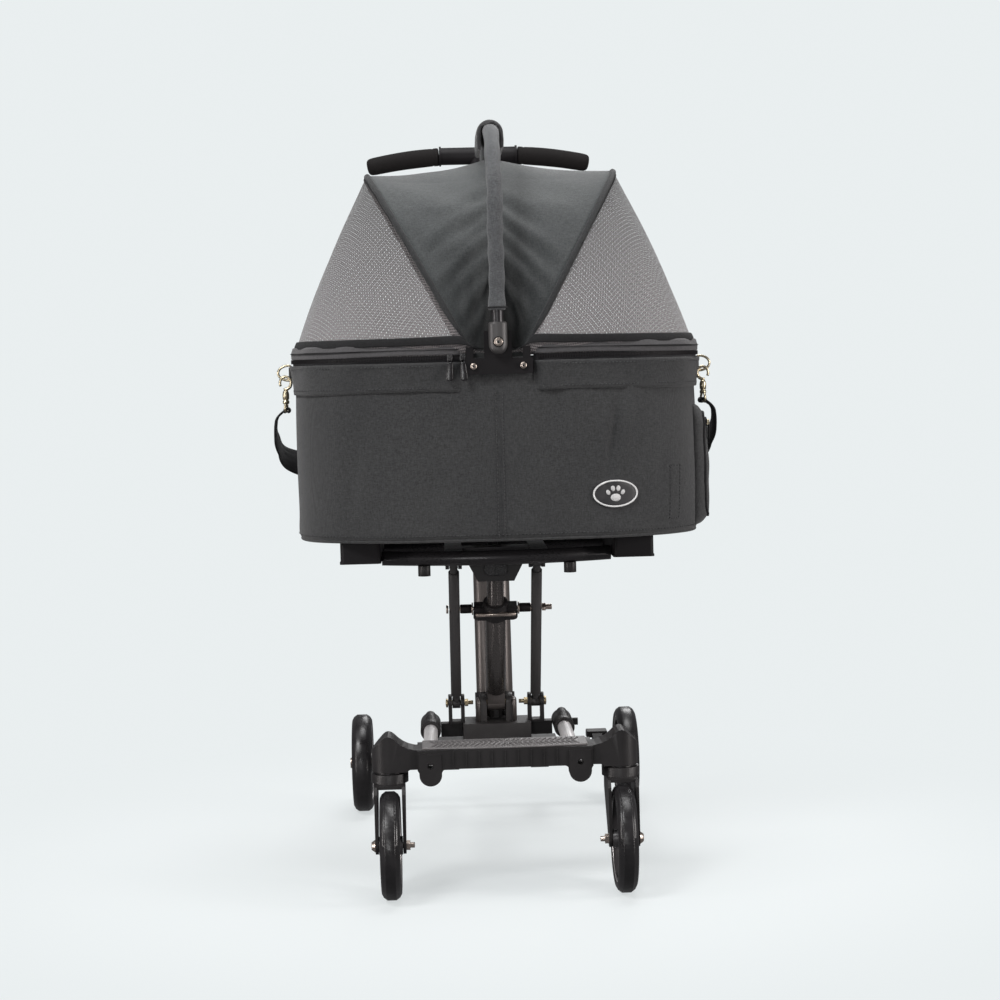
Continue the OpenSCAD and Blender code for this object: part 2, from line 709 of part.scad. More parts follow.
module mesh_lid() color("#8c8488") carrier_frame() cloth_shell(
    [for (i = [0:canopy_steps]) hoop_point(canopy_angle(i))],
    [for (i = [0:canopy_steps]) rim_point(canopy_angle(i))],
    6, mesh_bulge, [-80, 0, mesh_low + 20]);

module gusset() color("#3d3e40") carrier_frame() cloth_shell(
    [for (i = [0:canopy_steps]) crown_point(canopy_angle(i))],
    [for (i = [0:canopy_steps]) hoop_point(canopy_angle(i)) + [7.5, 0, 0]],
    4, 3, [-20, 0, mesh_low]);

module hoop() color("#2c2c2e") carrier_frame() difference() {
    union() {
        ringed([for (i = [0:32]) let (
            a = 0.2 + 179.6*i/32,
            p = hoop_point(a),
            t = unit(hoop_point(a + 0.5) - hoop_point(a - 0.5)),
            b = [-cos(hoop_lean), 0, -sin(hoop_lean)],
            n = cross(t, b))
            [for (k = [0:7]) p + hoop_wire_r*(n*cos(45*k) - b*sin(45*k))]]);
        for (s = [-1, 1]) translate([0, s*(hoop_half - 1), 0]) rod_y(-hinge_x, hinge_z, 6, -3, 3);
    }
    rod_y(-hinge_x, hinge_z, 2.5 + run_fit, -200, 200);
}

// ---- Bail ----

// The bail's route as legs, two bends and a straight top, at radius r
module bail_rod(r, leg_low, top_r) {
    for (s = [-1, 1]) {
        translate([0, s*bail_half, leg_low])
            cylinder(r = r, h = bail_z - bail_bend - leg_low);
        translate([0, s*(bail_half - bail_bend), bail_z - bail_bend]) rotate([0, -90, 0])
            rotate([0, 0, s > 0 ? 0 : -90]) rotate_extrude(angle = 90)
                translate([bail_bend, 0]) circle(r);
    }
    rod_y(0, bail_z, top_r, bail_bend - bail_half, bail_half - bail_bend);
}

module bail_tube() color("#2c2c2e") carrier_frame() difference() {
    union() {
        bail_rod(bail_tube_r, 736, bail_tube_r);
        for (s = [-1, 1]) translate([-12.5, s*bail_half - 5.6, 704]) cube([25, 11.2, 52]);
    }
    rod_y(0, bail_pivot_z, 4 + run_fit, -300, 300);
}

module bail_sleeve() color("#3a3b3d") carrier_frame() difference() {
    bail_rod(12, 762, 18);
    bail_rod(bail_tube_r + 0.05, 700, bail_tube_r + 0.05);
}

// ---- Nodes ----

step_bumper();
step_tread();
side_tubes();
tube_collars();
crossbar();
centre_block();
rod_clevises();
frame_bolts();
rear_beam();
rear_legs();
rear_axle();
brake_pedal();
mirror([1, 0, 0]) caster_fork();  // caster_fork_left
caster_fork();  // caster_fork_right
mirror([1, 0, 0]) caster_axle();  // caster_axle_left
caster_axle();  // caster_axle_right
mirror([1, 0, 0]) front_tyre();  // front_tyre_left
front_tyre();  // front_tyre_right
mirror([1, 0, 0]) front_rim();  // front_rim_left
front_rim();  // front_rim_right
mirror([1, 0, 0]) rear_tyre();  // rear_tyre_left
rear_tyre();  // rear_tyre_right
mirror([1, 0, 0]) rear_rim();  // rear_rim_left
rear_rim();  // rear_rim_right
main_post();
post_foot();
tie_rods();
yoke_collar();
cross_pin();
levelling_link();
platform_frame();
platform_pads();
latch_block();
strap_posts();
release_button();
stem_sleeve();
stem_tube();
clamp_collar();
inner_tube();
handle_bar();
grip(-1);  // grip_left
grip(1);  // grip_right
height_button();
carrier_shell();
base_board();
cushion();
rim_frame();
hoop_brackets();
side_pocket();
d_rings();
snap_hooks();
shoulder_strap();
hoop();  // hoop_left
translate([2*carrier_x, 0, 0]) mirror([1, 0, 0]) hoop();  // hoop_right
mesh_lid();  // mesh_lid_left
translate([2*carrier_x, 0, 0]) mirror([1, 0, 0]) mesh_lid();  // mesh_lid_right
gusset();  // gusset_left
translate([2*carrier_x, 0, 0]) mirror([1, 0, 0]) gusset();  // gusset_right
bail_tube();
bail_sleeve();
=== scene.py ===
"""The looks of a pet stroller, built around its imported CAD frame. Units are metres."""
import math
import random

import bmesh
import bpy
from mathutils import Matrix, Vector


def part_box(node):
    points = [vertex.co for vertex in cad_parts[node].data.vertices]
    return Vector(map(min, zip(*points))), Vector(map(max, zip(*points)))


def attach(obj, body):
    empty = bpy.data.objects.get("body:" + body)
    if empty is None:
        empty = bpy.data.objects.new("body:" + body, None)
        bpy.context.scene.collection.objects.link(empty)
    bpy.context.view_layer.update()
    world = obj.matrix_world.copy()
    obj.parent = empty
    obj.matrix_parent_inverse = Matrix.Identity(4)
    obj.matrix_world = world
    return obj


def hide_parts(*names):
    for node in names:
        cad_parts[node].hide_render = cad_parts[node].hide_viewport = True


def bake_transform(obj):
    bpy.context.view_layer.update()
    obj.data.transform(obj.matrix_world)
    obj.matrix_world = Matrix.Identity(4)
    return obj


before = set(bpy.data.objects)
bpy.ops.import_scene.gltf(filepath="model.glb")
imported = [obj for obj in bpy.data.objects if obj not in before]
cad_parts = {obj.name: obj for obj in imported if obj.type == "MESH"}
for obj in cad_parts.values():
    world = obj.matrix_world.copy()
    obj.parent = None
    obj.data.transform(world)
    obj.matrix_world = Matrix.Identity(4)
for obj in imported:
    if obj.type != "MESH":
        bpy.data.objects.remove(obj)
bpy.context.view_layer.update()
MM = 0.001
rng = random.Random(7)

# ---------------------------------------------------------------- camera and light


def make_camera():
    """The photograph's viewing angle: from the front, a little to the left and above."""
    yaw, pitch, roll = math.radians(-1.88), math.radians(90 - 3.74), math.radians(-1.43)
    data = bpy.data.cameras.new("camera")
    data.sensor_width, data.lens = 36, 72
    data.clip_start, data.clip_end = 0.05, 60
    camera = bpy.data.objects.new("camera", data)
    turn = Matrix.Rotation(yaw, 4, "Z") @ Matrix.Rotation(pitch, 4, "X") @ Matrix.Rotation(roll, 4, "Z")
    camera.matrix_world = Matrix.Translation((-0.0835, -2.854, 0.684)) @ turn
    bpy.context.scene.view_settings.view_transform = "Standard"
    bpy.context.scene.collection.objects.link(camera)
    bpy.context.scene.camera = camera


def area_light(name, place, target, size, power, tint=(1, 1, 1), tall=None):
    data = bpy.data.lights.new(name, "AREA")
    data.shape, data.energy, data.color = "RECTANGLE" if tall else "DISK", power, tint
    data.size, data.size_y = size, tall or size
    light = bpy.data.objects.new(name, data)
    light.location = place
    light.rotation_euler = (Vector(target) - Vector(place)).to_track_quat("-Z", "Y").to_euler()
    bpy.context.scene.collection.objects.link(light)


BACKDROP = (0.82, 0.86, 0.868, 1)


def make_studio():
    """A pale backdrop, a pale floor that runs into it, and soft lights above and beside the stroller."""
    world = bpy.data.worlds.new("studio")
    bpy.context.scene.world = world
    world.use_nodes = True
    tree = world.node_tree
    seen = tree.nodes["Background"]
    seen.inputs["Color"].default_value = BACKDROP
    room = tree.nodes.new("ShaderNodeBackground")
    room.inputs["Color"].default_value = (0.86, 0.86, 0.88, 1)
    room.inputs["Strength"].default_value = 0.20
    choose = tree.nodes.new("ShaderNodeMixShader")
    tree.links.new(tree.nodes.new("ShaderNodeLightPath").outputs["Is Camera Ray"], choose.inputs[0])
    tree.links.new(room.outputs[0], choose.inputs[1])
    tree.links.new(seen.outputs[0], choose.inputs[2])
    tree.links.new(choose.outputs[0], tree.nodes["World Output"].inputs["Surface"])
    area_light("key", (-1.6, -1.9, 2.9), (0, 0, 0.7), 1.1, 62)
    area_light("top", (0.2, 0.1, 3.0), (0, 0, 0.8), 1.5, 44)
    area_light("side", (2.5, -1.0, 1.2), (0, 0, 0.5), 0.9, 24, (1, 0.97, 0.95))
    area_light("left_strip", (-1.9, -1.0, 0.5), (0, 0.1, 0.4), 0.30, 19, (1, 0.95, 0.93), 1.5)
    area_light("right_strip", (1.8, -1.1, 0.5), (0, 0.1, 0.4), 0.30, 17, (1, 0.95, 0.93), 1.5)
    area_light("low", (-0.5, -2.7, 0.6), (0, 0, 0.3), 0.5, 7)
    area_light("back", (0.6, 2.6, 1.9), (0, 0, 0.6), 1.4, 22)
    bpy.ops.mesh.primitive_circle_add(vertices=96, radius=18, fill_type="TRIFAN", location=(0, 0, 0))
    floor = bpy.context.object
    floor.name = "floor"
    paint = bpy.data.materials.new("floor_paint")
    paint.use_nodes = True
    tree = paint.node_tree
    shade = tree.nodes["Principled BSDF"]
    shade.inputs["Base Color"].default_value = (0.80, 0.835, 0.84, 1)
    shade.inputs["Roughness"].default_value = 0.95
    shade.inputs["Specular IOR Level"].default_value = 0.1
    glow = tree.nodes.new("ShaderNodeEmission")
    glow.inputs["Color"].default_value = BACKDROP
    where = tree.nodes.new("ShaderNodeTexCoord")
    reach = tree.nodes.new("ShaderNodeVectorMath")
    reach.operation = "LENGTH"
    far = tree.nodes.new("ShaderNodeMapRange")
    far.interpolation_type = "SMOOTHSTEP"
    far.inputs["From Min"].default_value = 0.15
    far.inputs["From Max"].default_value = 0.95
    far.inputs["To Min"].default_value = 0.62
    blend = tree.nodes.new("ShaderNodeMixShader")
    tree.links.new(where.outputs["Object"], reach.inputs[0])
    tree.links.new(reach.outputs["Value"], far.inputs["Value"])
    tree.links.new(far.outputs[0], blend.inputs[0])
    tree.links.new(shade.outputs[0], blend.inputs[1])
    tree.links.new(glow.outputs[0], blend.inputs[2])
    tree.links.new(blend.outputs[0], tree.nodes["Material Output"].inputs["Surface"])
    floor.data.materials.append(paint)
    floor.visible_diffuse = floor.visible_glossy = False


# ---------------------------------------------------------------- materials


class Nodes:
    """A short way to build one material's node tree."""

    def __init__(self, name):
        self.material = bpy.data.materials.new(name)
        self.material.use_nodes = True
        self.tree = self.material.node_tree
        self.shader = self.tree.nodes["Principled BSDF"]
        self.place = self.add("ShaderNodeTexCoord").outputs["Object"]

    def add(self, kind, inputs=None, **settings):
        node = self.tree.nodes.new(kind)
        for key, value in settings.items():
            setattr(node, key, value)
        for key, value in (inputs or {}).items():
            if isinstance(value, bpy.types.NodeSocket):
                self.tree.links.new(value, node.inputs[key])
            else:
                node.inputs[key].default_value = value
        return node

    def math(self, operation, a, b=0.0, c=0.0):
        return self.add("ShaderNodeMath", {0: a, 1: b, 2: c}, operation=operation).outputs[0]

    def stretched(self, x, y, z):
        return self.add("ShaderNodeMapping", {"Vector": self.place, "Scale": (x, y, z)}).outputs[0]

    def noise(self, scale, detail=2.0, rough=0.5, place=None):
        inputs = {"Vector": place or self.place, "Scale": scale, "Detail": detail, "Roughness": rough}
        return self.add("ShaderNodeTexNoise", inputs).outputs["Fac"]

    def ramp(self, value, low, high, out_low=0.0, out_high=1.0):
        inputs = {"Value": value, "From Min": low, "From Max": high, "To Min": out_low, "To Max": out_high}
        return self.add("ShaderNodeMapRange", inputs).outputs[0]

    def mix(self, fac, a, b, blend="MIX"):
        node = self.add("ShaderNodeMix", data_type="RGBA", blend_type=blend)
        for key, value in ((0, fac), (6, a), (7, b)):
            if isinstance(value, bpy.types.NodeSocket):
                self.tree.links.new(value, node.inputs[key])
            else:
                node.inputs[key].default_value = value
        return node.outputs[2]

    def bump(self, height, strength, distance, under=None):
        inputs = {"Height": height, "Strength": strength, "Distance": distance}
        if under:
            inputs["Normal"] = under
        return self.add("ShaderNodeBump", inputs).outputs["Normal"]

    def set(self, **sockets):
        for key, value in sockets.items():
            socket = self.shader.inputs[key.replace("_", " ")]
            if isinstance(value, bpy.types.NodeSocket):
                self.tree.links.new(value, socket)
            else:
                socket.default_value = value
        return self.material


def shade(colour, k):
    return (colour[0] * k, colour[1] * k, colour[2] * k, 1)


def woven(name, colour, thread=0.0011, contrast=0.46, bump=0.5, sheen=0.25, rough=0.9, deep=None):
    """Heathered canvas: two crossing thread directions, fine flecks and slow uneven fading. With deep given, painted
    shade darkens the cloth towards the bottom near its middle.
    """
    n = Nodes(name)
    turns = 2 * math.pi / thread
    waves = []
    parts = n.add("ShaderNodeSeparateXYZ", {0: n.place}).outputs
    for axis in (0, 1, 2):
        waves.append(n.math("SINE", n.math("MULTIPLY", parts[axis], turns)))
    weave = n.math("MULTIPLY", n.math("ADD", waves[0], waves[1]), waves[2])
    flecks = n.noise(820, 3, 0.7)
    streaks = n.noise(620, 2, 0.6, n.stretched(1, 1, 0.28))
    cross = n.noise(620, 2, 0.6, n.stretched(0.28, 0.28, 1))
    fade = n.noise(9, 3, 0.5)
    tone = n.math("ADD", n.math("MULTIPLY", flecks, 0.4), n.math("MULTIPLY", n.math("ADD", streaks, cross), 0.30))
    dark, light = shade(colour, 1 - contrast), shade(colour, 1 + contrast)
    base = n.mix(n.ramp(tone, 0.36, 0.64), dark, light)
    base = n.mix(n.ramp(fade, 0.35, 0.65), base, n.mix(1.0, base, (0.86, 0.86, 0.87, 1), "MULTIPLY"))
    # Painted shade: deep darkens the cloth towards the bottom and near its middle, a painted shadow for the tucked
    # folds.
    if deep:
        low, high, middle, reach = deep
        sideways = n.math("ABSOLUTE", n.math("SUBTRACT", parts[0], middle))
        tuck = n.math("MULTIPLY", n.ramp(parts[2], low, high, 1, 0), n.ramp(sideways, 0.012, reach, 1, 0))
        base = n.mix(tuck, base, n.mix(1.0, base, (0.16, 0.16, 0.16, 1), "MULTIPLY"))
    normal = n.bump(weave, bump, 0.00018, n.bump(flecks, 0.35, 0.0004))
    n.shader.inputs["Sheen Weight"].default_value = sheen
    n.shader.inputs["Sheen Roughness"].default_value = 0.5
    n.shader.inputs["Specular IOR Level"].default_value = 0.25
    return n.set(Base_Color=base, Roughness=n.ramp(flecks, 0.3, 0.7, rough - 0.08, rough), Normal=normal)


def moulded(name, colour, rough=0.42, grain=900, wear=0.25, shine=0.5):
    """Moulded plastic: fine spark-eroded grain, faint flow marks and dust in the low spots."""
    n = Nodes(name)
    fine = n.noise(grain, 2, 0.6)
    slow = n.noise(24, 4, 0.55)
    scuffs = n.noise(160, 2, 0.7, n.stretched(1, 0.2, 1))
    base = n.mix(n.ramp(slow, 0.35, 0.7), shade(colour, 0.85), shade(colour, 1.18))
    base = n.mix(n.ramp(scuffs, 0.62, 0.78, 0, wear), base, shade(colour, 1.9))
    gloss = n.math("ADD", n.ramp(slow, 0.3, 0.7, rough - 0.06, rough + 0.06), n.ramp(scuffs, 0.6, 0.8, 0, 0.12))
    n.shader.inputs["Specular IOR Level"].default_value = shine
    return n.set(Base_Color=base, Roughness=gloss, Normal=n.bump(fine, 0.22, 0.0003))


def metal(name, colour, rough=0.3, along=(1, 1, 0.03), scratch=0.18, metallic=1.0):
    """Drawn or coated tube: fine lines along its length and slightly uneven gloss."""
    n = Nodes(name)
    lines = n.noise(900, 2, 0.6, n.stretched(*along))
    slow = n.noise(18, 3, 0.5)
    base = n.mix(n.ramp(lines, 0.35, 0.65), shade(colour, 0.88), shade(colour, 1.08))
    gloss = n.math("ADD", n.ramp(lines, 0.3, 0.7, rough - 0.05, rough + 0.06), n.ramp(slow, 0.4, 0.7, 0, 0.06))
    n.shader.inputs["Metallic"].default_value = metallic
    return n.set(Base_Color=base, Roughness=gloss, Normal=n.bump(lines, scratch, 0.00006))


def rubber(name, colour, rough=0.55, grain=700, strength=0.25):
    """Moulded rubber with a fine grain and pale dust worn into the crown."""
    n = Nodes(name)
    fine, dust = n.noise(grain, 3, 0.65), n.noise(60, 4, 0.6)
    base = n.mix(n.ramp(dust, 0.5, 0.75, 0, 0.6), shade(colour, 0.95), shade(colour, 1.5))
    gloss = n.ramp(dust, 0.35, 0.7, rough - 0.08, rough + 0.1)
    return n.set(Base_Color=base, Roughness=gloss, Normal=n.bump(fine, strength, 0.0003))


def foam(name, colour):
    """Closed-cell foam: small open cells that break up the highlight."""
    n = Nodes(name)
    cells = n.add("ShaderNodeTexVoronoi", {"Vector": n.place, "Scale": 900}).outputs["Distance"]
    base = n.mix(n.ramp(cells, 0.1, 0.6), shade(colour, 0.7), shade(colour, 1.35))
    n.shader.inputs["Specular IOR Level"].default_value = 0.2
    return n.set(Base_Color=base, Roughness=0.9, Normal=n.bump(cells, 0.5, 0.0005))


def net(name, colour, cell=0.0027, thread=0.34):
    """Open hexagonal mesh: round holes in staggered rows, laid out over the piece's own UV in metres."""
    n = Nodes(name)
    uv = n.add("ShaderNodeTexCoord").outputs["UV"]
    parts = n.add("ShaderNodeSeparateXYZ", {0: uv}).outputs
    cos, sin = math.cos(math.radians(15)), math.sin(math.radians(15))
    across = n.math("SUBTRACT", n.math("MULTIPLY", parts[0], cos), n.math("MULTIPLY", parts[1], sin))
    along = n.math("ADD", n.math("MULTIPLY", parts[0], sin), n.math("MULTIPLY", parts[1], cos))
    u, v = n.math("DIVIDE", across, cell), n.math("DIVIDE", along, cell * math.sqrt(3))

    def from_centre(du, dv):
        a = n.math("SUBTRACT", n.math("FRACT", n.math("ADD", u, du)), 0.5)
        b = n.math("MULTIPLY", n.math("SUBTRACT", n.math("FRACT", n.math("ADD", v, dv)), 0.5), math.sqrt(3))
        return n.math("SQRT", n.math("ADD", n.math("MULTIPLY", a, a), n.math("MULTIPLY", b, b)))

    nearest = n.math("MINIMUM", from_centre(0, 0), from_centre(0.5, 0.5))
    alpha = n.ramp(nearest, thread - 0.09, thread + 0.09, 0.12, 1.0)
    base = n.mix(n.ramp(n.noise(500, 2), 0.35, 0.65), shade(colour, 0.8), shade(colour, 1.2))
    # Painted shade: the net is darkened towards its top, down to about a third of its tone.
    height = n.add("ShaderNodeSeparateXYZ", {0: n.place}).outputs["Z"]
    base = n.mix(n.ramp(height, 0.70, 0.92), base, n.mix(1.0, base, (0.36, 0.36, 0.36, 1), "MULTIPLY"))
    n.shader.inputs["Sheen Weight"].default_value = 0.2
    return n.set(Base_Color=base, Roughness=0.75, Alpha=alpha, Normal=n.bump(nearest, 0.4, 0.0003))


def webbing(name, colour):
    """Flat woven webbing: a fine herringbone rib over its own UV in metres."""
    n = Nodes(name)
    uv = n.add("ShaderNodeTexCoord").outputs["UV"]
    parts = n.add("ShaderNodeSeparateXYZ", {0: uv}).outputs
    rib = n.math("PINGPONG", n.math("MULTIPLY", parts[1], 1.0), 0.004)
    lines = n.math("SINE", n.math("MULTIPLY", n.math("ADD", parts[0], rib), 2 * math.pi / 0.0021))
    base = n.mix(n.ramp(lines, -1, 1), shade(colour, 0.65), shade(colour, 1.35))
    base = n.mix(n.ramp(n.noise(700, 2), 0.4, 0.7), base, n.mix(1.0, base, (0.8, 0.8, 0.8, 1), "MULTIPLY"))
    return n.set(Base_Color=base, Roughness=0.8, Normal=n.bump(lines, 0.6, 0.0004))


CANVAS_TONE = (0.043, 0.044, 0.045)
# Painted light: the canopy is the same cloth as the canvas, given a lighter tone that stands in for the light falling
# on it from above.
PAINTED_LIT_CANOPY_TONE = (0.078, 0.084, 0.085)
M = {
    "canvas": woven("canvas", CANVAS_TONE),
    # Painted light on the canopy cloth: a lighter tone than the canvas, and painted shade from deep low in the gusset
    # near the middle.
    "canopy": woven("canopy_cloth", PAINTED_LIT_CANOPY_TONE, contrast=0.34, deep=(0.73, 0.90, 0.006, 0.085)),
    "bail_cloth": woven("bail_cloth", (0.092, 0.096, 0.100), contrast=0.42),
    "lining": woven("lining", (0.06, 0.062, 0.066), thread=0.0016, contrast=0.2),
    "cushion": woven("cushion_cloth", (0.15, 0.155, 0.165), thread=0.0014, contrast=0.2),
    "tape": woven("zip_tape", (0.036, 0.036, 0.039), thread=0.0009, contrast=0.2, sheen=0.1),
    "band": woven("zip_band", (0.085, 0.083, 0.086), thread=0.0009, contrast=0.2),
    "binding": woven("binding", (0.019, 0.019, 0.020), thread=0.0013, contrast=0.3, sheen=0.05),
    "piping": woven("hoop_piping", (0.036, 0.037, 0.038), thread=0.0010, contrast=0.3, sheen=0.15),
    "wrap": woven("wrap_cloth", (0.030, 0.030, 0.032), thread=0.0013, contrast=0.25, sheen=0.35, rough=0.75),
    "thread": woven("sewing_thread", (0.032, 0.033, 0.035), thread=0.0006, contrast=0.3),
    "net": net("mesh_net", (0.225, 0.206, 0.208), 0.0030, 0.335),
    "web": webbing("strap_webbing", (0.022, 0.022, 0.024)),
    "plastic": moulded("black_plastic", (0.015, 0.0135, 0.014), 0.44, shine=0.4),
    "block": moulded("block_plastic", (0.036, 0.033, 0.033), 0.44),
    "post_metal": metal("gloss_black_post", (0.150, 0.138, 0.134), 0.27, metallic=0.85, scratch=0.08),
    "dark_plastic": moulded("matte_black_plastic", (0.007, 0.006, 0.007), 0.62, shine=0.22),
    "button": moulded("button_plastic", (0.012, 0.011, 0.012), 0.25, wear=0.1),
    "tread": rubber("tread_rubber", (0.150, 0.142, 0.143), 0.40),
    "tyre": rubber("tyre_rubber", (0.013, 0.012, 0.013), 0.33, strength=0.10),
    "rim": moulded("rim_plastic", (0.036, 0.034, 0.036), 0.35),
    "rim_edge": metal("rim_edge", (0.62, 0.60, 0.60), 0.32, metallic=0.8),
    "alu": metal("brushed_aluminium", (0.92, 0.90, 0.90), 0.36, (1, 0.03, 1), metallic=0.45),
    "black_metal": metal("black_coated_metal", (0.030, 0.028, 0.030), 0.28, metallic=0.35),
    "black_tube_x": metal("black_coated_cross_tube", (0.030, 0.028, 0.030), 0.28, (0.03, 1, 1), metallic=0.35),
    "rod": metal("grey_rod", (0.078, 0.075, 0.075), 0.42, metallic=0.35),
    "stem": metal("anodised_stem", (0.145, 0.130, 0.124), 0.38, metallic=0.6),
    "brass": metal("dull_brass", (0.58, 0.47, 0.30), 0.32, (1, 1, 1)),
    "antique": metal("antique_brass", (0.60, 0.53, 0.38), 0.28, (1, 1, 1)),
    "steel": metal("screw_steel", (0.50, 0.43, 0.38), 0.28, (1, 1, 1)),
    "foam": foam("grip_foam", (0.009, 0.008, 0.008)),
    "board": moulded("base_board_plastic", (0.10, 0.095, 0.09), 0.7),
    "badge_face": rubber("badge_face", (0.028, 0.028, 0.030), 0.5),
    "badge_rim": rubber("badge_rim", (0.75, 0.75, 0.75), 0.45, strength=0.1),
    "badge_mark": rubber("badge_mark", (0.60, 0.60, 0.60), 0.5, strength=0.1),
}

# ---------------------------------------------------------------- mesh helpers


def make_object(name, verts, faces, material, uvs=None, smooth=True):
    """A mesh object from points and faces; uvs is one (u, v) for each point."""
    mesh = bpy.data.meshes.new(name)
    mesh.from_pydata([tuple(v) for v in verts], [], faces)
    mesh.update()
    if uvs:
        layer = mesh.uv_layers.new(name="UVMap")
        for loop in mesh.loops:
            layer.data[loop.index].uv = uvs[loop.vertex_index]
    mesh.materials.append(M[material])
    obj = bpy.data.objects.new(name, mesh)
    bpy.context.scene.collection.objects.link(obj)
    for polygon in mesh.polygons:
        polygon.use_smooth = smooth
    return obj


def outwards(obj):
    """Turns every face of a closed mesh outwards."""
    work = bmesh.new()
    work.from_mesh(obj.data)
    bmesh.ops.recalc_face_normals(work, faces=work.faces)
    work.to_mesh(obj.data)
    work.free()
    return obj


def modify(obj, kind, **settings):
    modifier = obj.modifiers.new(kind.lower(), kind)
    for key, value in settings.items():
        setattr(modifier, key, value)
    return obj


def place(obj, body, slot, *nodes):
    """Puts a finished piece on the body it rides on and hides the CAD nodes it stands for. The slot is not used."""
    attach(obj, body)
    if nodes:
        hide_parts(*nodes)
    return obj


def ring_faces(rows, count, close_ring=True, close_rows=False):
    faces = []
    for i in range(rows if close_rows else rows - 1):
        for j in range(count if close_ring else count - 1):
            a, b = i * count, ((i + 1) % rows) * count
            k = (j + 1) % count
            faces.append((a + j, a + k, b + k, b + j))
    return faces


def sweep(name, path, section, material, closed=False, up=None):
    """A solid swept along path. section(i, t) gives the outline at step i, share t, as (side, up) pairs."""
    count = len(path)
    path = [Vector(p) for p in path]
    verts, uvs, travelled, previous = [], [], 0.0, None
    for i, p in enumerate(path):
        ahead = path[(i + 1) % count] if closed or i + 1 < count else p
        behind = path[i - 1] if closed or i else p
        t = (ahead - behind).normalized()
        guide = Vector(up(i)) if up else (previous or (Vector((0, 0, 1)) if abs(t.z) < 0.9 else Vector((0, 1, 0))))
        side = t.cross(guide).normalized()
        rise = side.cross(t).normalized()
        previous = rise
        outline = section(i, i / (count - 1))
        around = 0.0
        for k, (a, b) in enumerate(outline):
            verts.append(p + side * a + rise * b)
            uvs.append((travelled, around))
            nxt = outline[(k + 1) % len(outline)]
            around += math.hypot(nxt[0] - a, nxt[1] - b)
        travelled += (ahead - p).length
    size = len(section(0, 0.0))
    faces = ring_faces(count, size, True, closed)
    if not closed:
        faces.append(tuple(range(size)))
        faces.append(tuple(range((count - 1) * size, count * size)))
    return outwards(make_object(name, verts, faces, material, uvs))


def round_section(radius, sides=12):
    points = [(math.cos(2 * math.pi * k / sides), math.sin(2 * math.pi * k / sides)) for k in range(sides)]
    if callable(radius):
        return lambda i, t: [(radius(t) * a, radius(t) * b) for a, b in points]
    return lambda i, t: [(radius * a, radius * b) for a, b in points]


def flat_section(width, thick, edge=3):
    """A flat strip's outline with rounded edges."""
    half, r = width / 2 - thick / 2, thick / 2
    turn = [math.pi * k / edge - math.pi / 2 for k in range(edge + 1)]
    right = [(half + r * math.cos(a), r * math.sin(a)) for a in turn]
    return right + [(-x, -y) for x, y in right]


def tube(name, path, radius, material, sides=12, closed=False, up=None):
    return sweep(name, path, round_section(radius, sides), material, closed, up)


def strip(name, path, width, thick, material, closed=False, up=None):
    outline = flat_section(width, thick)
    return sweep(name, path, lambda i, t: outline, material, closed, up)


def smooth_path(points, steps):
    """A Catmull-Rom curve through the points."""
    points = [Vector(p) for p in points]
    ends = [points[0] * 2 - points[1]] + points + [points[-1] * 2 - points[-2]]
    out = []
    for i in range(len(points) - 1):
        p0, p1, p2, p3 = ends[i:i + 4]
        for k in range(steps):
            t = k / steps
            out.append(0.5 * (2 * p1 + (p2 - p0) * t + (2 * p0 - 5 * p1 + 4 * p2 - p3) * t * t
                              + (3 * p1 - p0 - 3 * p2 + p3) * t ** 3))
    return out + [points[-1]]


def join(name, parts):
    """One piece from several meshes."""
    bpy.ops.object.select_all(action="DESELECT")
    for part in parts:
        part.select_set(True)
    bpy.context.view_layer.objects.active = parts[0]
    bpy.ops.object.join()
    parts[0].name = name
    return parts[0]


def block(centre, size, material, bevel=0.001, turn=None, name="block"):
    """A bevelled block, used for small fittings."""
    x, y, z = (s / 2 for s in size)
    corners = [Vector((i * x, j * y, k * z)) for i in (-1, 1) for j in (-1, 1) for k in (-1, 1)]
    turn = turn or Matrix.Identity(3)
    verts = [Vector(centre) + turn @ c for c in corners]
    faces = [(0, 1, 3, 2), (4, 6, 7, 5), (0, 4, 5, 1), (2, 3, 7, 6), (0, 2, 6, 4), (1, 5, 7, 3)]
    obj = outwards(make_object(name, verts, faces, material, smooth=False))
    work = bmesh.new()
    work.from_mesh(obj.data)
    bmesh.ops.bevel(work, geom=work.edges[:], offset=bevel, segments=3, affect="EDGES", profile=0.6)
    work.to_mesh(obj.data)
    work.free()
    return obj


def power(value, exponent):
    return math.copysign(abs(value) ** exponent, value)


def bell(distance, width):
    return math.exp(-((distance / width) ** 2))


# ---------------------------------------------------------------- the carrier's shape

SHELL_LOW, SHELL_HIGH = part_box("carrier_shell")
MID = (SHELL_LOW + SHELL_HIGH) / 2
HALF_W, HALF_D = (SHELL_HIGH.x - SHELL_LOW.x) / 2, (SHELL_HIGH.y - SHELL_LOW.y) / 2
FLOOR_Z, RIM_Z = SHELL_LOW.z, SHELL_HIGH.z
OUTLINE_POWER = 2.9
LID_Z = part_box("mesh_lid_left")[0].z
CANOPY_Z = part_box("gusset_left")[1].z
HINGE_X, HINGE_Z = 0.038, 0.709
HOOP_TOP_X, HOOP_TOP_Z = 0.171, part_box("hoop_left")[1].z - 0.0025
HOOP_HALF, HOOP_POWER = HALF_D - 0.003, 2.4
HOOP_LEAN = math.atan2(HOOP_TOP_X - HINGE_X, HOOP_TOP_Z - HINGE_Z)
HOOP_LENGTH = math.hypot(HOOP_TOP_X - HINGE_X, HOOP_TOP_Z - HINGE_Z)


def outline(angle, grow=0.0, share=1.0):
    """The carrier's outline at an angle from +X: a rounded box with bowed sides."""
    x = (HALF_W + grow) * power(math.cos(angle), 2 / OUTLINE_POWER)
    y = (HALF_D + grow) * power(math.sin(angle), 2 / OUTLINE_POWER)
    return Vector((MID.x + x * share, MID.y + y * share, 0))


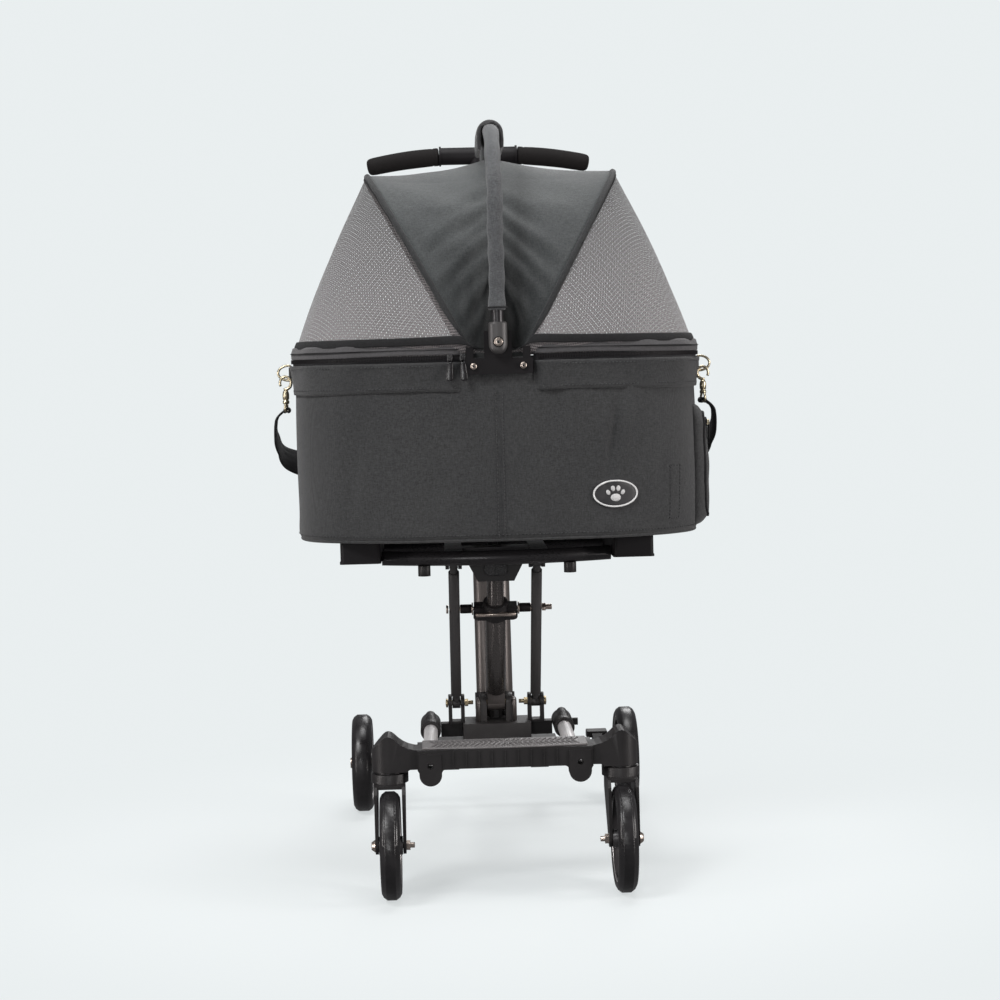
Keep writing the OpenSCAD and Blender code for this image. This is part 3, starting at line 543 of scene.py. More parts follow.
def even_angles(count, start=0.0, end=2 * math.pi, grow=0.0, closed=True):
    """Angles that space points evenly along the outline."""
    fine = 1400
    angles = [start + (end - start) * k / fine for k in range(fine + 1)]
    lengths = [0.0]
    for a, b in zip(angles, angles[1:]):
        lengths.append(lengths[-1] + (outline(b, grow) - outline(a, grow)).length)
    picked, k = [], 0
    for i in range(count):
        want = lengths[-1] * i / (count if closed else count - 1)
        while k < fine - 1 and lengths[k + 1] < want:
            k += 1
        gap = lengths[k + 1] - lengths[k]
        picked.append(angles[k] + (angles[k + 1] - angles[k]) * ((want - lengths[k]) / gap if gap else 0))
    return picked


def outward(angle):
    """The outline's outward direction."""
    ahead, behind = outline(angle + 0.01), outline(angle - 0.01)
    d = ahead - behind
    return Vector((d.y, -d.x, 0)).normalized()


def front_angle(x):
    """The angle at which the front of the outline has this offset from the middle."""
    c = max(-1.0, min(1.0, power(x / HALF_W, OUTLINE_POWER / 2)))
    return -math.acos(c)


def front_y(x, grow=0.0):
    return outline(front_angle(x), grow).y


def wall_relief(angle, z):
    """How far the canvas wall stands out: slack, creases and the pull of the cuffs, in metres."""
    p = outline(angle)
    x, h = p.x - MID.x, (z - FLOOR_Z) / (RIM_Z - FLOOR_Z)
    front = p.y < MID.y
    out = 0.0022 * math.sin(math.pi * min(1, h * 1.05))
    out += 0.0012 * math.sin(x * 31 + 2.0 * h) * math.sin(math.pi * h)
    out += 0.0009 * math.sin(x * 67 - 5 * h + p.y * 40) * (0.35 + 0.65 * h)
    lean = (z - 0.575) * 0.16
    for x0, z0, high, wide, deep in CREASES if front else BACK_CREASES:
        out += deep * bell(x - x0 - lean, wide) * bell(z - z0, high)
    out -= 0.0035 * bell(z - FLOOR_Z, 0.006)
    if front:
        out -= 0.0011 * bell(x, 0.0016)
    sag = 0.0016 * math.sin(x * 44 + 1.0) * bell(z - FLOOR_Z - 0.012, 0.018)
    return out + sag


CREASES = [
    (0.150, 0.590, 0.060, 0.006, -0.0044), (0.163, 0.600, 0.055, 0.008, 0.0040), (0.136, 0.585, 0.040, 0.007, 0.0022),
    (-0.190, 0.560, 0.080, 0.012, -0.0030), (0.036, 0.610, 0.050, 0.009, 0.0026), (0.060, 0.640, 0.040, 0.012, -0.0024),
    (-0.085, 0.500, 0.050, 0.014, -0.0016), (0.225, 0.520, 0.070, 0.010, -0.0020),
    (-0.020, 0.655, 0.030, 0.010, -0.0014), (0.030, 0.655, 0.030, 0.010, -0.0014),
]
BACK_CREASES = [
    (0.120, 0.580, 0.070, 0.012, -0.0024), (-0.140, 0.600, 0.060, 0.010, -0.0026),
    (0.020, 0.520, 0.060, 0.014, 0.0018), (-0.030, 0.640, 0.040, 0.012, -0.0016),
]


def wall_point(angle, z, lift=0.0):
    p = outline(angle)
    p += outward(angle) * (wall_relief(angle, z) + lift)
    p.z = z
    return p


def make_body():
    """The canvas tub: one closed skin, up the outside, over the rim, down the lining and across the floor."""
    columns = 300
    angles = even_angles(columns)
    rise = [FLOOR_Z + 0.004 + (RIM_Z - 0.006 - FLOOR_Z) * k / 54 for k in range(55)]
    verts = []
    for share in (0.25, 0.55, 0.8, 0.94, 0.985):
        sink = 0.0015 * math.sin(share * 9)
        verts += [outline(a, -0.003, share) + Vector((0, 0, FLOOR_Z + 0.0015 + sink * (1 - share))) for a in angles]
    verts += [wall_point(a, FLOOR_Z + 0.0004, -0.0035) for a in angles]
    for z in rise:
        verts += [wall_point(a, z) for a in angles]
    verts += [outline(a, -0.0005) + Vector((0, 0, RIM_Z)) for a in angles]
    for z in (RIM_Z - 0.002, RIM_Z - 0.03, FLOOR_Z + 0.15, FLOOR_Z + 0.05, FLOOR_Z + 0.009):
        verts += [outline(a, -0.0036) + Vector((0, 0, z)) for a in angles]
    for share in (0.9, 0.5):
        verts += [outline(a, -0.004, share) + Vector((0, 0, FLOOR_Z + 0.0085)) for a in angles]
    rows = len(verts) // columns
    faces = ring_faces(rows, columns)
    verts += [Vector((MID.x, MID.y, FLOOR_Z + 0.002)), Vector((MID.x, MID.y, FLOOR_Z + 0.0085))]
    last = (rows - 1) * columns
    for j in range(columns):
        k = (j + 1) % columns
        faces.append((len(verts) - 2, k, j))
        faces.append((len(verts) - 1, last + j, last + k))
    body = outwards(make_object("carrier_body", verts, faces, "canvas"))
    place(body, "carrier", "canvas", "carrier_shell", "base_board")
    board_low, board_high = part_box("base_board")
    angles = even_angles(120)
    verts = [outline(a, -0.005 - e) + Vector((0, 0, z)) for z, e in
             ((board_low.z + 0.006, 0), (board_high.z + 0.003, 0), (board_high.z + 0.004, 0.001)) for a in angles]
    faces = ring_faces(3, 120) + [tuple(range(120)), tuple(range(240, 360))]
    place(outwards(make_object("base_board_panel", verts, faces, "board", smooth=False)), "carrier", "board")


def stitch_run(name, points, normal_at, body, slot, length=0.0034, gap=0.0016, radius=0.00042):
    """A row of short raised stitches along a line of points."""
    points = [Vector(p) for p in points]
    pieces, step, carried = [], length + gap, 0.0
    verts, faces = [], []
    for a, b in zip(points, points[1:]):
        span = (b - a).length
        t = (b - a).normalized() if span else Vector((1, 0, 0))
        while carried < span:
            centre = a + t * carried
            up = normal_at(centre)
            side = t.cross(up).normalized()
            base = len(verts)
            for e, r in ((-length / 2, 0.35), (-length / 5, 1), (length / 5, 1), (length / 2, 0.35)):
                for da, db in ((1, 0), (0, 1), (-1, 0), (0, -0.6)):
                    verts.append(centre + t * e + (side * da + up * db) * radius * r * 1.3)
            for row in range(3):
                for k in range(4):
                    q = (k + 1) % 4
                    p0, p1 = base + row * 4, base + row * 4 + 4
                    faces.append((p0 + k, p0 + q, p1 + q, p1 + k))
            faces += [(base, base + 3, base + 2, base + 1), tuple(base + 12 + k for k in range(4))]
            carried += step
        carried -= span
    return place(outwards(make_object(name, verts, faces, "thread")), body, slot)


def make_seams():
    """The centre seam's two stitched rows, the bottom hem with its piping, and a stitched label box."""
    def out_at(p):
        return outward(math.atan2(p.y - MID.y, p.x - MID.x))

    for side, x in (("left", -0.0045), ("right", 0.0045)):
        angle = front_angle(x)
        line = [wall_point(angle, FLOOR_Z + 0.008 + 0.003 * k, 0.0006) for k in range(65)]
        stitch_run(f"centre_stitch_{side}", line, out_at, "carrier", "canvas")
    hem = [wall_point(a, FLOOR_Z + 0.0095, 0.0006) for a in even_angles(240)]
    stitch_run("hem_stitch", hem + hem[:1], out_at, "carrier", "canvas")
    piping = [wall_point(a, FLOOR_Z + 0.0024, -0.0004) for a in even_angles(240)]
    place(tube("bottom_piping", piping, 0.0020, "canvas", 8, True, lambda i: (0, 0, 1)), "carrier", "canvas")
    box_x, box_z, box_w, box_h = 0.236, 0.512, 0.014, 0.072
    corners = [(box_x - box_w / 2, box_z - box_h / 2), (box_x + box_w / 2, box_z - box_h / 2),
               (box_x + box_w / 2, box_z + box_h / 2), (box_x - box_w / 2, box_z + box_h / 2)]
    line = []
    for (x0, z0), (x1, z1) in zip(corners, corners[1:] + corners[:1]):
        for k in range(12):
            x, z = x0 + (x1 - x0) * k / 12, z0 + (z1 - z0) * k / 12
            line.append(wall_point(front_angle(x), z, 0.0006))
    stitch_run("label_stitch", line + line[:1], out_at, "carrier", "canvas")


def partial_band(name, material, start, end, low, high, body, slot, thick=0.0022, flare=None, nodes=(), steps=150):
    """A band round part of the outline, from one angle to another, with a closed section.
    flare(angle, share) is how far it stands out at a share of its height."""
    angles = even_angles(steps, start, end, closed=False)
    rows = 10
    section = []
    for k in range(rows + 1):
        section.append((k / rows, 0.0))
    for k in range(rows, -1, -1):
        section.append((k / rows, -thick))
    verts, uvs, run, last = [], [], 0.0, None
    for i, a in enumerate(angles):
        q = i / (steps - 1)
        fold = 0.0009 * math.sin(run * 95) + 0.0006 * math.sin(run * 41 + 1)
        centre = outline(a)
        if last is not None:
            run += (centre - last).length
        last = centre
        tuck = 0.004 * (bell(q, 0.012) + bell(1 - q, 0.012))
        for share, inset in section:
            lift = flare(a, share) if flare else 0.0025
            edge = 0.0007 * (bell(share - 0.07, 0.05) + bell(share - 0.93, 0.05)) if inset == 0 else 0
            p = outline(a) + outward(a) * (lift + inset + edge + fold * (0.4 + share) - tuck * (1 if inset == 0 else 0.6))
            p.z = low + (high - low) * share + 0.0012 * math.sin(run * 23) * (1 - share)
            verts.append(p)
            uvs.append((run, share * (high - low) + inset))
    size = len(section)
    faces = ring_faces(steps, size)
    faces += [tuple(range(size)), tuple(range((steps - 1) * size, steps * size))]
    return place(outwards(make_object(name, verts, faces, material, uvs)), body, slot, *nodes)


# ---------------------------------------------------------------- rim, zips and canopy

FRONT_GAP = 0.047
SIDES = (("left", -1), ("right", 1))


def half_turn(s, gap=FRONT_GAP):
    """The angles from the front bracket round one end to the back bracket."""
    start = front_angle(s * gap)
    return (start, -start) if s > 0 else (start, -2 * math.pi - start)


def make_rim():
    """Canvas cuffs, the zip's tape and coil round the carrier, and its teeth."""
    for name, s in SIDES:
        start, end = half_turn(s)
        partial_band(f"cuff_{name}", "canvas", start, end, RIM_Z - 0.045, RIM_Z - 0.005, "carrier", "canvas",
                     flare=lambda a, share: 0.0028 + 0.0042 * share ** 1.5)
        partial_band(f"zip_tape_{name}", "tape", start, end, RIM_Z - 0.014, RIM_Z + 0.0037, "carrier", "trim_fabric",
                     thick=0.0018, flare=lambda a, share: 0.0024, nodes=("rim_frame",) if s < 0 else ())
        for row, z in (("low", RIM_Z - 0.039), ("high", RIM_Z - 0.010)):
            share = (z - RIM_Z + 0.045) / 0.040
            lift = 0.0034 + 0.0042 * share ** 1.5
            line = []
            for a in even_angles(170, start, end, closed=False)[3:-3]:
                p = outline(a) + outward(a) * lift
                p.z = z
                line.append(p)
            stitch_run(f"cuff_stitch_{row}_{name}", line, lambda p: outward(math.atan2(p.y - MID.y, p.x - MID.x)),
                       "carrier", "canvas")
        coil, teeth = [], []
        for a in even_angles(200, start, end, closed=False)[2:-2]:
            p = outline(a) + outward(a) * 0.0042
            p.z = RIM_Z + 0.0008
            coil.append(p)
        place(tube(f"zip_coil_{name}", coil, 0.0013, "tape", 8, up=lambda i: (0, 0, 1)), "carrier", "trim_fabric")
        verts, faces = [], []
        for a in even_angles(300, start, end, closed=False)[2:-2]:
            n = outward(a)
            t = Vector((-n.y, n.x, 0))
            c = outline(a) + n * 0.0052 + Vector((0, 0, RIM_Z + 0.0008))
            base = len(verts)
            for dn in (-0.0012, 0.0008):
                for dt, dz in ((-0.00075, -0.0028), (0.00075, -0.0028), (0.0009, 0.0026), (-0.0006, 0.0026)):
                    verts.append(c + n * dn + t * dt + Vector((0, 0, dz)))
            faces += [tuple(base + k for k in f) for f in
                      ((0, 1, 2, 3), (7, 6, 5, 4), (0, 4, 5, 1), (1, 5, 6, 2), (2, 6, 7, 3), (3, 7, 4, 0))]
        teeth = outwards(make_object(f"zip_teeth_{name}", verts, faces, "dark_plastic", smooth=False))
        place(teeth, "carrier", "trim_fabric")


def hoop_at(a, s):
    h = HOOP_LENGTH * power(math.sin(a), 2 / HOOP_POWER)
    return Vector((MID.x + s * (HINGE_X + h * math.sin(HOOP_LEAN)),
                   MID.y - HOOP_HALF * power(math.cos(a), 2 / HOOP_POWER), HINGE_Z + h * math.cos(HOOP_LEAN)))


def crown_at(a, s):
    return Vector((MID.x + s * 0.0004, MID.y - HOOP_HALF * power(math.cos(a), 2 / HOOP_POWER),
                   LID_Z + (CANOPY_Z - LID_Z) * power(math.sin(a), 2 / HOOP_POWER)))


def lid_rim_at(a, s):
    return Vector((MID.x + s * (HALF_W + 0.002) * power(math.sin(a), 2 / OUTLINE_POWER),
                   MID.y - (HALF_D + 0.002) * power(math.cos(a), 2 / OUTLINE_POWER), LID_Z + 0.002))


def paced(curve, count, start, end):
    """Parameters that space points evenly along curve, which takes a parameter to a point."""
    fine = 900
    params = [start + (end - start) * k / fine for k in range(fine + 1)]
    lengths = [0.0]
    for a, b in zip(params, params[1:]):
        lengths.append(lengths[-1] + (curve(b) - curve(a)).length)
    picked, k = [], 0
    for i in range(count):
        want = lengths[-1] * i / (count - 1)
        while k < fine - 1 and lengths[k + 1] < want:
            k += 1
        gap = lengths[k + 1] - lengths[k]
        picked.append(params[k] + (params[k + 1] - params[k]) * ((want - lengths[k]) / gap if gap else 0))
    return picked


def cloth_sheet(name, curve_a, curve_b, params, rows, shape, material):
    """An open sheet between two curves. shape(p, a, share) moves each point."""
    verts, uvs, run = [], [], 0.0
    for i, a in enumerate(params):
        if i:
            middle = (curve_a(a) + curve_b(a)) / 2
            run += (middle - (curve_a(params[i - 1]) + curve_b(params[i - 1])) / 2).length
        height = (curve_b(a) - curve_a(a)).length
        for j in range(rows + 1):
            share = j / rows
            verts.append(shape(curve_a(a).lerp(curve_b(a), share), a, share))
            uvs.append((run, share * height))
    faces = ring_faces(len(params), rows + 1, close_ring=False)
    return make_object(name, verts, faces, material, uvs)


def unrolled(curve_a, curve_b, params):
    """The strip between two curves laid flat, triangle by triangle: the (width, length) of the box around it, and its area."""
    def beyond(p, q, near, far):
        """The flat point that is near from p and far from q, on the side where the strip goes on."""
        gap, way = (q - p).length, (q - p).normalized()
        along = (near ** 2 - far ** 2 + gap ** 2) / (2 * gap)
        return p + way * along + Vector((way.y, -way.x)) * math.sqrt(max(0.0, near ** 2 - along ** 2))

    a, b = curve_a(params[0]), curve_b(params[0])
    side_a, side_b = [Vector((0, 0))], [Vector((0, (b - a).length))]
    for param in params[1:]:
        next_a, next_b = curve_a(param), curve_b(param)
        side_a.append(beyond(side_a[-1], side_b[-1], (next_a - a).length, (next_a - b).length))
        side_b.append(beyond(side_a[-1], side_b[-1], (next_b - next_a).length, (next_b - b).length))
        a, b = next_a, next_b
    outline = side_a + side_b[::-1]
    way = (side_a[-1] + side_b[-1] - side_a[0] - side_b[0]).normalized()
    along = [p.dot(way) for p in outline]
    across = [p.x * way.y - p.y * way.x for p in outline]
    area = abs(sum(p.x * q.y - p.y * q.x for p, q in zip(outline, outline[1:] + outline[:1]))) / 2
    return (max(across) - min(across), max(along) - min(along)), area


def make_lids():
    """Each side's mesh, the hoop in its cloth sleeve, the edge bands and the hinge eyes."""
    start, end = math.radians(0.4), math.radians(179.6)
    for name, s in SIDES:
        body = f"lid_{name}"
        heart = Vector((MID.x + s * 0.08, MID.y, LID_Z + 0.02))

        def taut(p, a, share):
            lean = (p - heart).normalized()
            slack = 0.0009 * math.sin(p.y * 90 + share * 7) * math.sin(math.pi * share)
            pull = 0.0014 * math.sin(a * 26) * bell(share, 0.12)
            return p + lean * (0.0065 * 4 * share * (1 - share) + slack + pull)

        params = paced(lambda a: lid_rim_at(a, s), 170, start, end)
        mesh = cloth_sheet(f"mesh_{name}", lambda a: hoop_at(a, s), lambda a: lid_rim_at(a, s), params, 40, taut, "net")
        place(mesh, body, "mesh", f"mesh_lid_{name}")
        unrolled(lambda a: hoop_at(a, s), lambda a: lid_rim_at(a, s), params)

        wire = [hoop_at(a, s) for a in paced(lambda a: hoop_at(a, s), 150, math.radians(0.4), math.radians(179.6))]
        sleeve = sweep(f"hoop_sleeve_{name}", wire,
                       lambda i, t: [((0.0043 + 0.00025 * math.sin(i * 1.9 + k)) * math.cos(2 * math.pi * k / 14),
                                      (0.0043 + 0.00025 * math.sin(i * 2.3 + k)) * math.sin(2 * math.pi * k / 14))
                                     for k in range(14)], "piping", up=lambda i: (s, 0, 0.3))
        place(sleeve, body, "trim_fabric", f"hoop_{name}")
        for end_name, y in (("front", MID.y - HOOP_HALF + 0.001), ("back", MID.y + HOOP_HALF - 0.001)):
            eye = [(MID.x + s * HINGE_X, y + dy, HINGE_Z) for dy in (-0.0034, -0.0028, 0.0028, 0.0034)]
            radii = (0.0052, 0.0062, 0.0062, 0.0052)
            ring = sweep(f"hinge_eye_{end_name}_{name}", eye,
                         lambda i, t: [(radii[i] * math.cos(2 * math.pi * k / 24), radii[i] * math.sin(2 * math.pi * k / 24))
                                       for k in range(24)], "black_metal", up=lambda i: (0, 0, 1))
            place(ring, body, "dark_metal")

        def tape_shape(p, a, share):
            return p + (p - heart).normalized() * (0.0012 + 0.0008 * math.sin(math.pi * share))

        def near_hoop(a):
            return taut(hoop_at(a, s).lerp(lid_rim_at(a, s), 0.006), a, 0.006)

        def off_hoop(a):
            return taut(hoop_at(a, s).lerp(lid_rim_at(a, s), 0.030), a, 0.030)

        edge = cloth_sheet(f"hoop_edge_{name}", near_hoop, off_hoop, params, 5, tape_shape, "binding")
        modify(edge, "SOLIDIFY", thickness=0.0012, offset=0)
        place(edge, body, "trim_fabric")

        first, last = half_turn(s, FRONT_GAP - 0.002)
        partial_band(f"zip_band_{name}", "band", first, last, LID_Z - 0.0004, LID_Z + 0.0158, body, "trim_fabric",
                     thick=0.0018, flare=lambda a, share: 0.0046 + 0.0010 * math.sin(math.pi * share) - 0.0030 * share ** 2)
        partial_band(f"band_seam_{name}", "binding", first, last, LID_Z + 0.0064, LID_Z + 0.0080, body, "trim_fabric",
                     thick=0.0012, flare=lambda a, share: 0.0058)

        def above_rim(height):
            def at(a):
                top, low = hoop_at(a, s), lid_rim_at(a, s)
                share = 1 - min(1.0, height / (top - low).length)
                return taut(top.lerp(low, share), a, share)
            return at

        def binding_shape(p, a, share):
            return p + (p - heart).normalized() * (0.0022 + 0.0008 * math.sin(math.pi * share))

        binding = cloth_sheet(f"lid_binding_{name}", above_rim(0.0235), above_rim(0.0125), params, 6, binding_shape, "binding")
        modify(binding, "SOLIDIFY", thickness=0.0016, offset=0)
        place(binding, body, "trim_fabric")
        stitch_run(f"binding_stitch_{name}", [binding_shape(above_rim(0.0212)(a), a, 0.2) for a in params[8:-8]],
                   lambda p: (p - heart).normalized(), body, "trim_fabric", 0.0028, 0.0014)


# Each fold: height of its root at the bail, its depth, half-width, slope and reach
FOLDS = {-1: ((0.934, 0.0024, 0.0095, 0.52, 0.060), (0.912, 0.0044, 0.0085, 0.60, 0.085), (0.889, 0.0030, 0.0080, 0.70, 0.060),
              (0.868, 0.0046, 0.0095, 0.78, 0.080), (0.844, 0.0027, 0.0090, 0.92, 0.055), (0.815, 0.0032, 0.0110, 1.15, 0.060),
              (0.784, 0.0022, 0.0100, 1.40, 0.045)),
         1: ((0.928, 0.0026, 0.0090, 0.66, 0.055), (0.901, 0.0042, 0.0090, 0.80, 0.070), (0.873, 0.0034, 0.0085, 0.95, 0.075),
             (0.846, 0.0040, 0.0105, 1.10, 0.065), (0.808, 0.0028, 0.0110, 1.35, 0.055))}


def fold_height(p, s, share):
    """Slanted folds that run outwards and down from the bail and die out towards the hoop."""
    away = abs(p.x - MID.x)
    rise = 0.0
    for root, high, wide, slope, reach in FOLDS[s]:
        d = p.z + away * slope + 0.003 * math.sin(away * 70 + root * 90) - root
        spread = wide * (1 + away * 6)
        rise += high * (bell(d, spread) - 0.55 * bell(d + spread * 1.7, spread)) * bell(away, reach)
    return rise * min(1, share / 0.07) * min(1, (1 - share) / 0.15)


def make_gussets():
    """The folded canopy cloth between the crown and each hoop, front and back in one piece."""
    start, end = math.radians(0.4), math.radians(179.6)
    apex = Vector((MID.x, MID.y, 0.639))
    for name, s in SIDES:
        params = paced(lambda a: crown_at(a, s), 300, start, end)

        def hoop_inner(a):
            return hoop_at(a, s) - Vector((s * 0.0034, 0, 0)) + Vector((0, 0, 0.0005))

        def folded(p, a, share):
            centre = Vector((MID.x + s * 0.02, MID.y, LID_Z))
            out = (p - centre).normalized()
            y_side = Vector((0, math.copysign(1, p.y - MID.y), 0))
            lean = (out * 0.45 + y_side * 0.75).normalized() if abs(p.y - MID.y) > 0.02 else out
            on_top = min(1.0, max(0.0, (p.z - 0.900) / 0.045))
            lift = (0.0026 - (0.0100 if s < 0 else 0.0083) * on_top) * 4 * share * (1 - share)
            ripple = 0.0007 * math.sin(p.z * 130 + p.x * 50) * math.sin(math.pi * share)
            depth = min(1.0, abs(p.y - MID.y) / 0.05)
            low = max(0.0, 1 - (p.z - 0.700) / 0.135) ** 1.1 * (1 - share) ** 0.7
            tuck = 0.030 * low + 0.0030 * low * math.sin(abs(p.x - MID.x) * 300 + 0.6 * s)
            return p + out * lift + lean * (fold_height(p, s, share) * depth + ripple) - y_side * tuck

        cloth = cloth_sheet(f"gusset_cloth_{name}", lambda a: crown_at(a, s), hoop_inner, params, 70, folded, "canopy")
        modify(cloth, "SOLIDIFY", thickness=0.0012, offset=-1 if s < 0 else 1)
        finish_modifiers(cloth)
        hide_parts(f"gusset_{name}")
        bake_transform(cloth)
        unrolled(lambda a: crown_at(a, s), hoop_inner, params)
        seam = []
        for a in params[10:-10]:
            share = 0.045
            seam.append(folded(crown_at(a, s).lerp(hoop_inner(a), share), a, share) + (crown_at(a, s) - apex).normalized() * 0.0009)
        line = stitch_run(f"crown_stitch_{name}", seam, lambda p: (p - apex).normalized(), "carrier", "canvas")
    crown = [crown_at(a, 0.0) + Vector((0, 0, 0.0005)) for a in paced(lambda a: crown_at(a, 1), 160, start, end)]
    path = [p + (p - apex).normalized() * 0.0012 for p in crown]
    place(strip("crown_seam", path, 0.010, 0.0024, "canopy", up=lambda i: path[i] - apex), "carrier", "canvas")


def finish_modifiers(obj):
    """Applies a piece's modifiers, so that its mesh is final."""
    bpy.ops.object.select_all(action="DESELECT")
    obj.select_set(True)
    bpy.context.view_layer.objects.active = obj
    for modifier in list(obj.modifiers):
        bpy.ops.object.modifier_apply(modifier=modifier.name)
    return obj


# ---------------------------------------------------------------- the bail

BAIL_LOW, BAIL_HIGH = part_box("bail_tube")
SLEEVE_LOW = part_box("bail_sleeve")[0].z
BAIL_HALF, BAIL_TOP, BAIL_BEND, PIVOT_Z = 0.176, BAIL_HIGH.z - 0.008, 0.120, 0.720


def bail_route(low, count=26):
    """Up the front leg, round the bend, back along the top and down the back leg."""
    straight_top = BAIL_TOP - BAIL_BEND
    points = [Vector((MID.x, MID.y - BAIL_HALF, low + (straight_top - low) * k / count)) for k in range(count)]
    for k in range(count + 1):
        a = math.pi / 2 * k / count
        points.append(Vector((MID.x, MID.y - BAIL_HALF + BAIL_BEND * (1 - math.cos(a)),
                              straight_top + BAIL_BEND * math.sin(a))))
    back = [Vector((p.x, 2 * MID.y - p.y, p.z)) for p in reversed(points)]
    middle = [Vector((MID.x, MID.y - 0.05 + 0.1 * k / 9, BAIL_TOP)) for k in range(10)]
    return points + middle + back


def make_bail():
    """The bail's cloth sleeve and its hems, its padded grip, and the tube's end fittings with their rods."""
    route = bail_route(SLEEVE_LOW)
    total = len(route)

    def sleeve_section(i, t):
        to_end = min(i, total - 1 - i)
        height = abs(route[i].z - SLEEVE_LOW)
        radius = 0.0104 + 0.0016 * bell(height, 0.014) + 0.0005 * math.sin(height * 190) * min(1, to_end / 4)
        out = []
        for k in range(28):
            a = 2 * math.pi * k / 28
            r = radius + 0.00045 * math.sin(3 * a + height * 60) + 0.0011 * bell(math.sin(a - 0.4), 0.08) * (math.cos(a - 0.4) > 0)
            if to_end == 0:
                r -= 0.0009
            out.append((r * math.cos(a), r * math.sin(a)))
        return out

    sleeve = sweep("bail_sleeve_cloth", route, sleeve_section, "bail_cloth", up=lambda i: (1, 0, 0))
    place(sleeve, "bail", "canvas", "bail_sleeve")
    for name, y_sign in (("front", -1), ("back", 1)):
        y = MID.y + y_sign * BAIL_HALF
        hem = [Vector((MID.x + 0.0124 * math.cos(2 * math.pi * k / 40), y + 0.0124 * math.sin(2 * math.pi * k / 40),
                       SLEEVE_LOW + 0.0035)) for k in range(40)]
        place(tube(f"sleeve_hem_{name}", hem, 0.0011, "binding", 8, True, lambda i: (0, 0, 1)), "bail", "trim_fabric")

        def fitting(i, t):
            z = levels[i]
            taper = 1.0 if z > 0.7165 else math.sqrt(max(0.02, 1 - ((0.7165 - z) / 0.0126) ** 2))
            crown = 1.0 if z < 0.7435 else math.sqrt(max(0.05, 1 - ((z - 0.7435) / 0.0032) ** 2)) * 0.25 + 0.75
            out = []
            for b in [2 * math.pi * k / 40 for k in range(40)]:
                front = 0.0094 if math.sin(b) * y_sign > 0 else 0.0058
                out.append((0.0124 * taper * crown * power(math.cos(b), 0.92),
                            front * crown * min(1, taper + 0.15) * power(math.sin(b), 0.9)))
            return out

        levels = [0.7041 + 0.0124 * (k / 8) ** 1.5 for k in range(9)] + [0.719 + 0.0245 * k / 10 for k in range(11)]
        levels += [0.7435 + 0.0030 * k / 5 for k in range(1, 6)]
        post = sweep(f"bail_fitting_{name}", [(MID.x, y, z) for z in levels], fitting, "rod", up=lambda i: (0, 1, 0))
        place(post, "bail", "frame_plastic", *(("bail_tube",) if y_sign < 0 else ()))
        rod = [(MID.x, y, 0.742 + 0.030 * k / 6) for k in range(7)]
        place(tube(f"bail_rod_{name}", rod, 0.0079, "black_metal", 28, up=lambda i: (0, 1, 0)), "bail", "dark_metal")
    arch = []
    outer, inner = 0.0183, 0.0122
    drop_left, drop_right = BAIL_TOP - 0.986, BAIL_TOP - 0.988
    profile = [(-outer, -drop_left), (-outer - 0.0006, -drop_left * 0.5)]
    profile += [(-outer * math.cos(math.pi * k / 18), outer * math.sin(math.pi * k / 18)) for k in range(19)]
    profile += [(outer + 0.0006, -drop_right * 0.5), (outer, -drop_right), (inner + 0.001, -drop_right - 0.0015),
                (inner, -drop_right * 0.5)]
    profile += [(inner * math.cos(math.pi * k / 14), inner * math.sin(math.pi * k / 14)) for k in range(15)]
    profile += [(-inner, -drop_left * 0.5), (-inner - 0.001, -drop_left - 0.0015)]
    steps = 45
    verts = []
    for i in range(steps):
        q = i / (steps - 1)
        y = MID.y - 0.056 + 0.112 * q
        soft = 1 - (abs(2 * q - 1)) ** 14 * 0.30
        quilt = 0.0006 * math.sin(q * math.pi * 9)
        for x, z in profile:
            out = Vector((x, z if z > 0 else z * 0.15)).normalized()
            far = math.hypot(x, max(z, 0)) > (outer + inner) / 2
            pull = (1 - soft) * 0.0065 if far else 0.0
            edge = 0.0011 * (bell(q - 0.06, 0.012) + bell(q - 0.94, 0.012)) if far else 0
            verts.append((MID.x + x - out.x * (pull + edge - (quilt if far else 0)),
                          y + (0.0025 if q < 0.5 else -0.0025) * (1 - soft),
                          BAIL_TOP + z - out.y * (pull + edge - (quilt if far else 0))))
    count = len(profile)
    faces = ring_faces(steps, count)
    faces += [tuple(range(count)), tuple(range((steps - 1) * count, steps * count))]
    wrap = outwards(make_object("bail_wrap", verts, faces, "wrap"))
    place(wrap, "bail", "canvas")


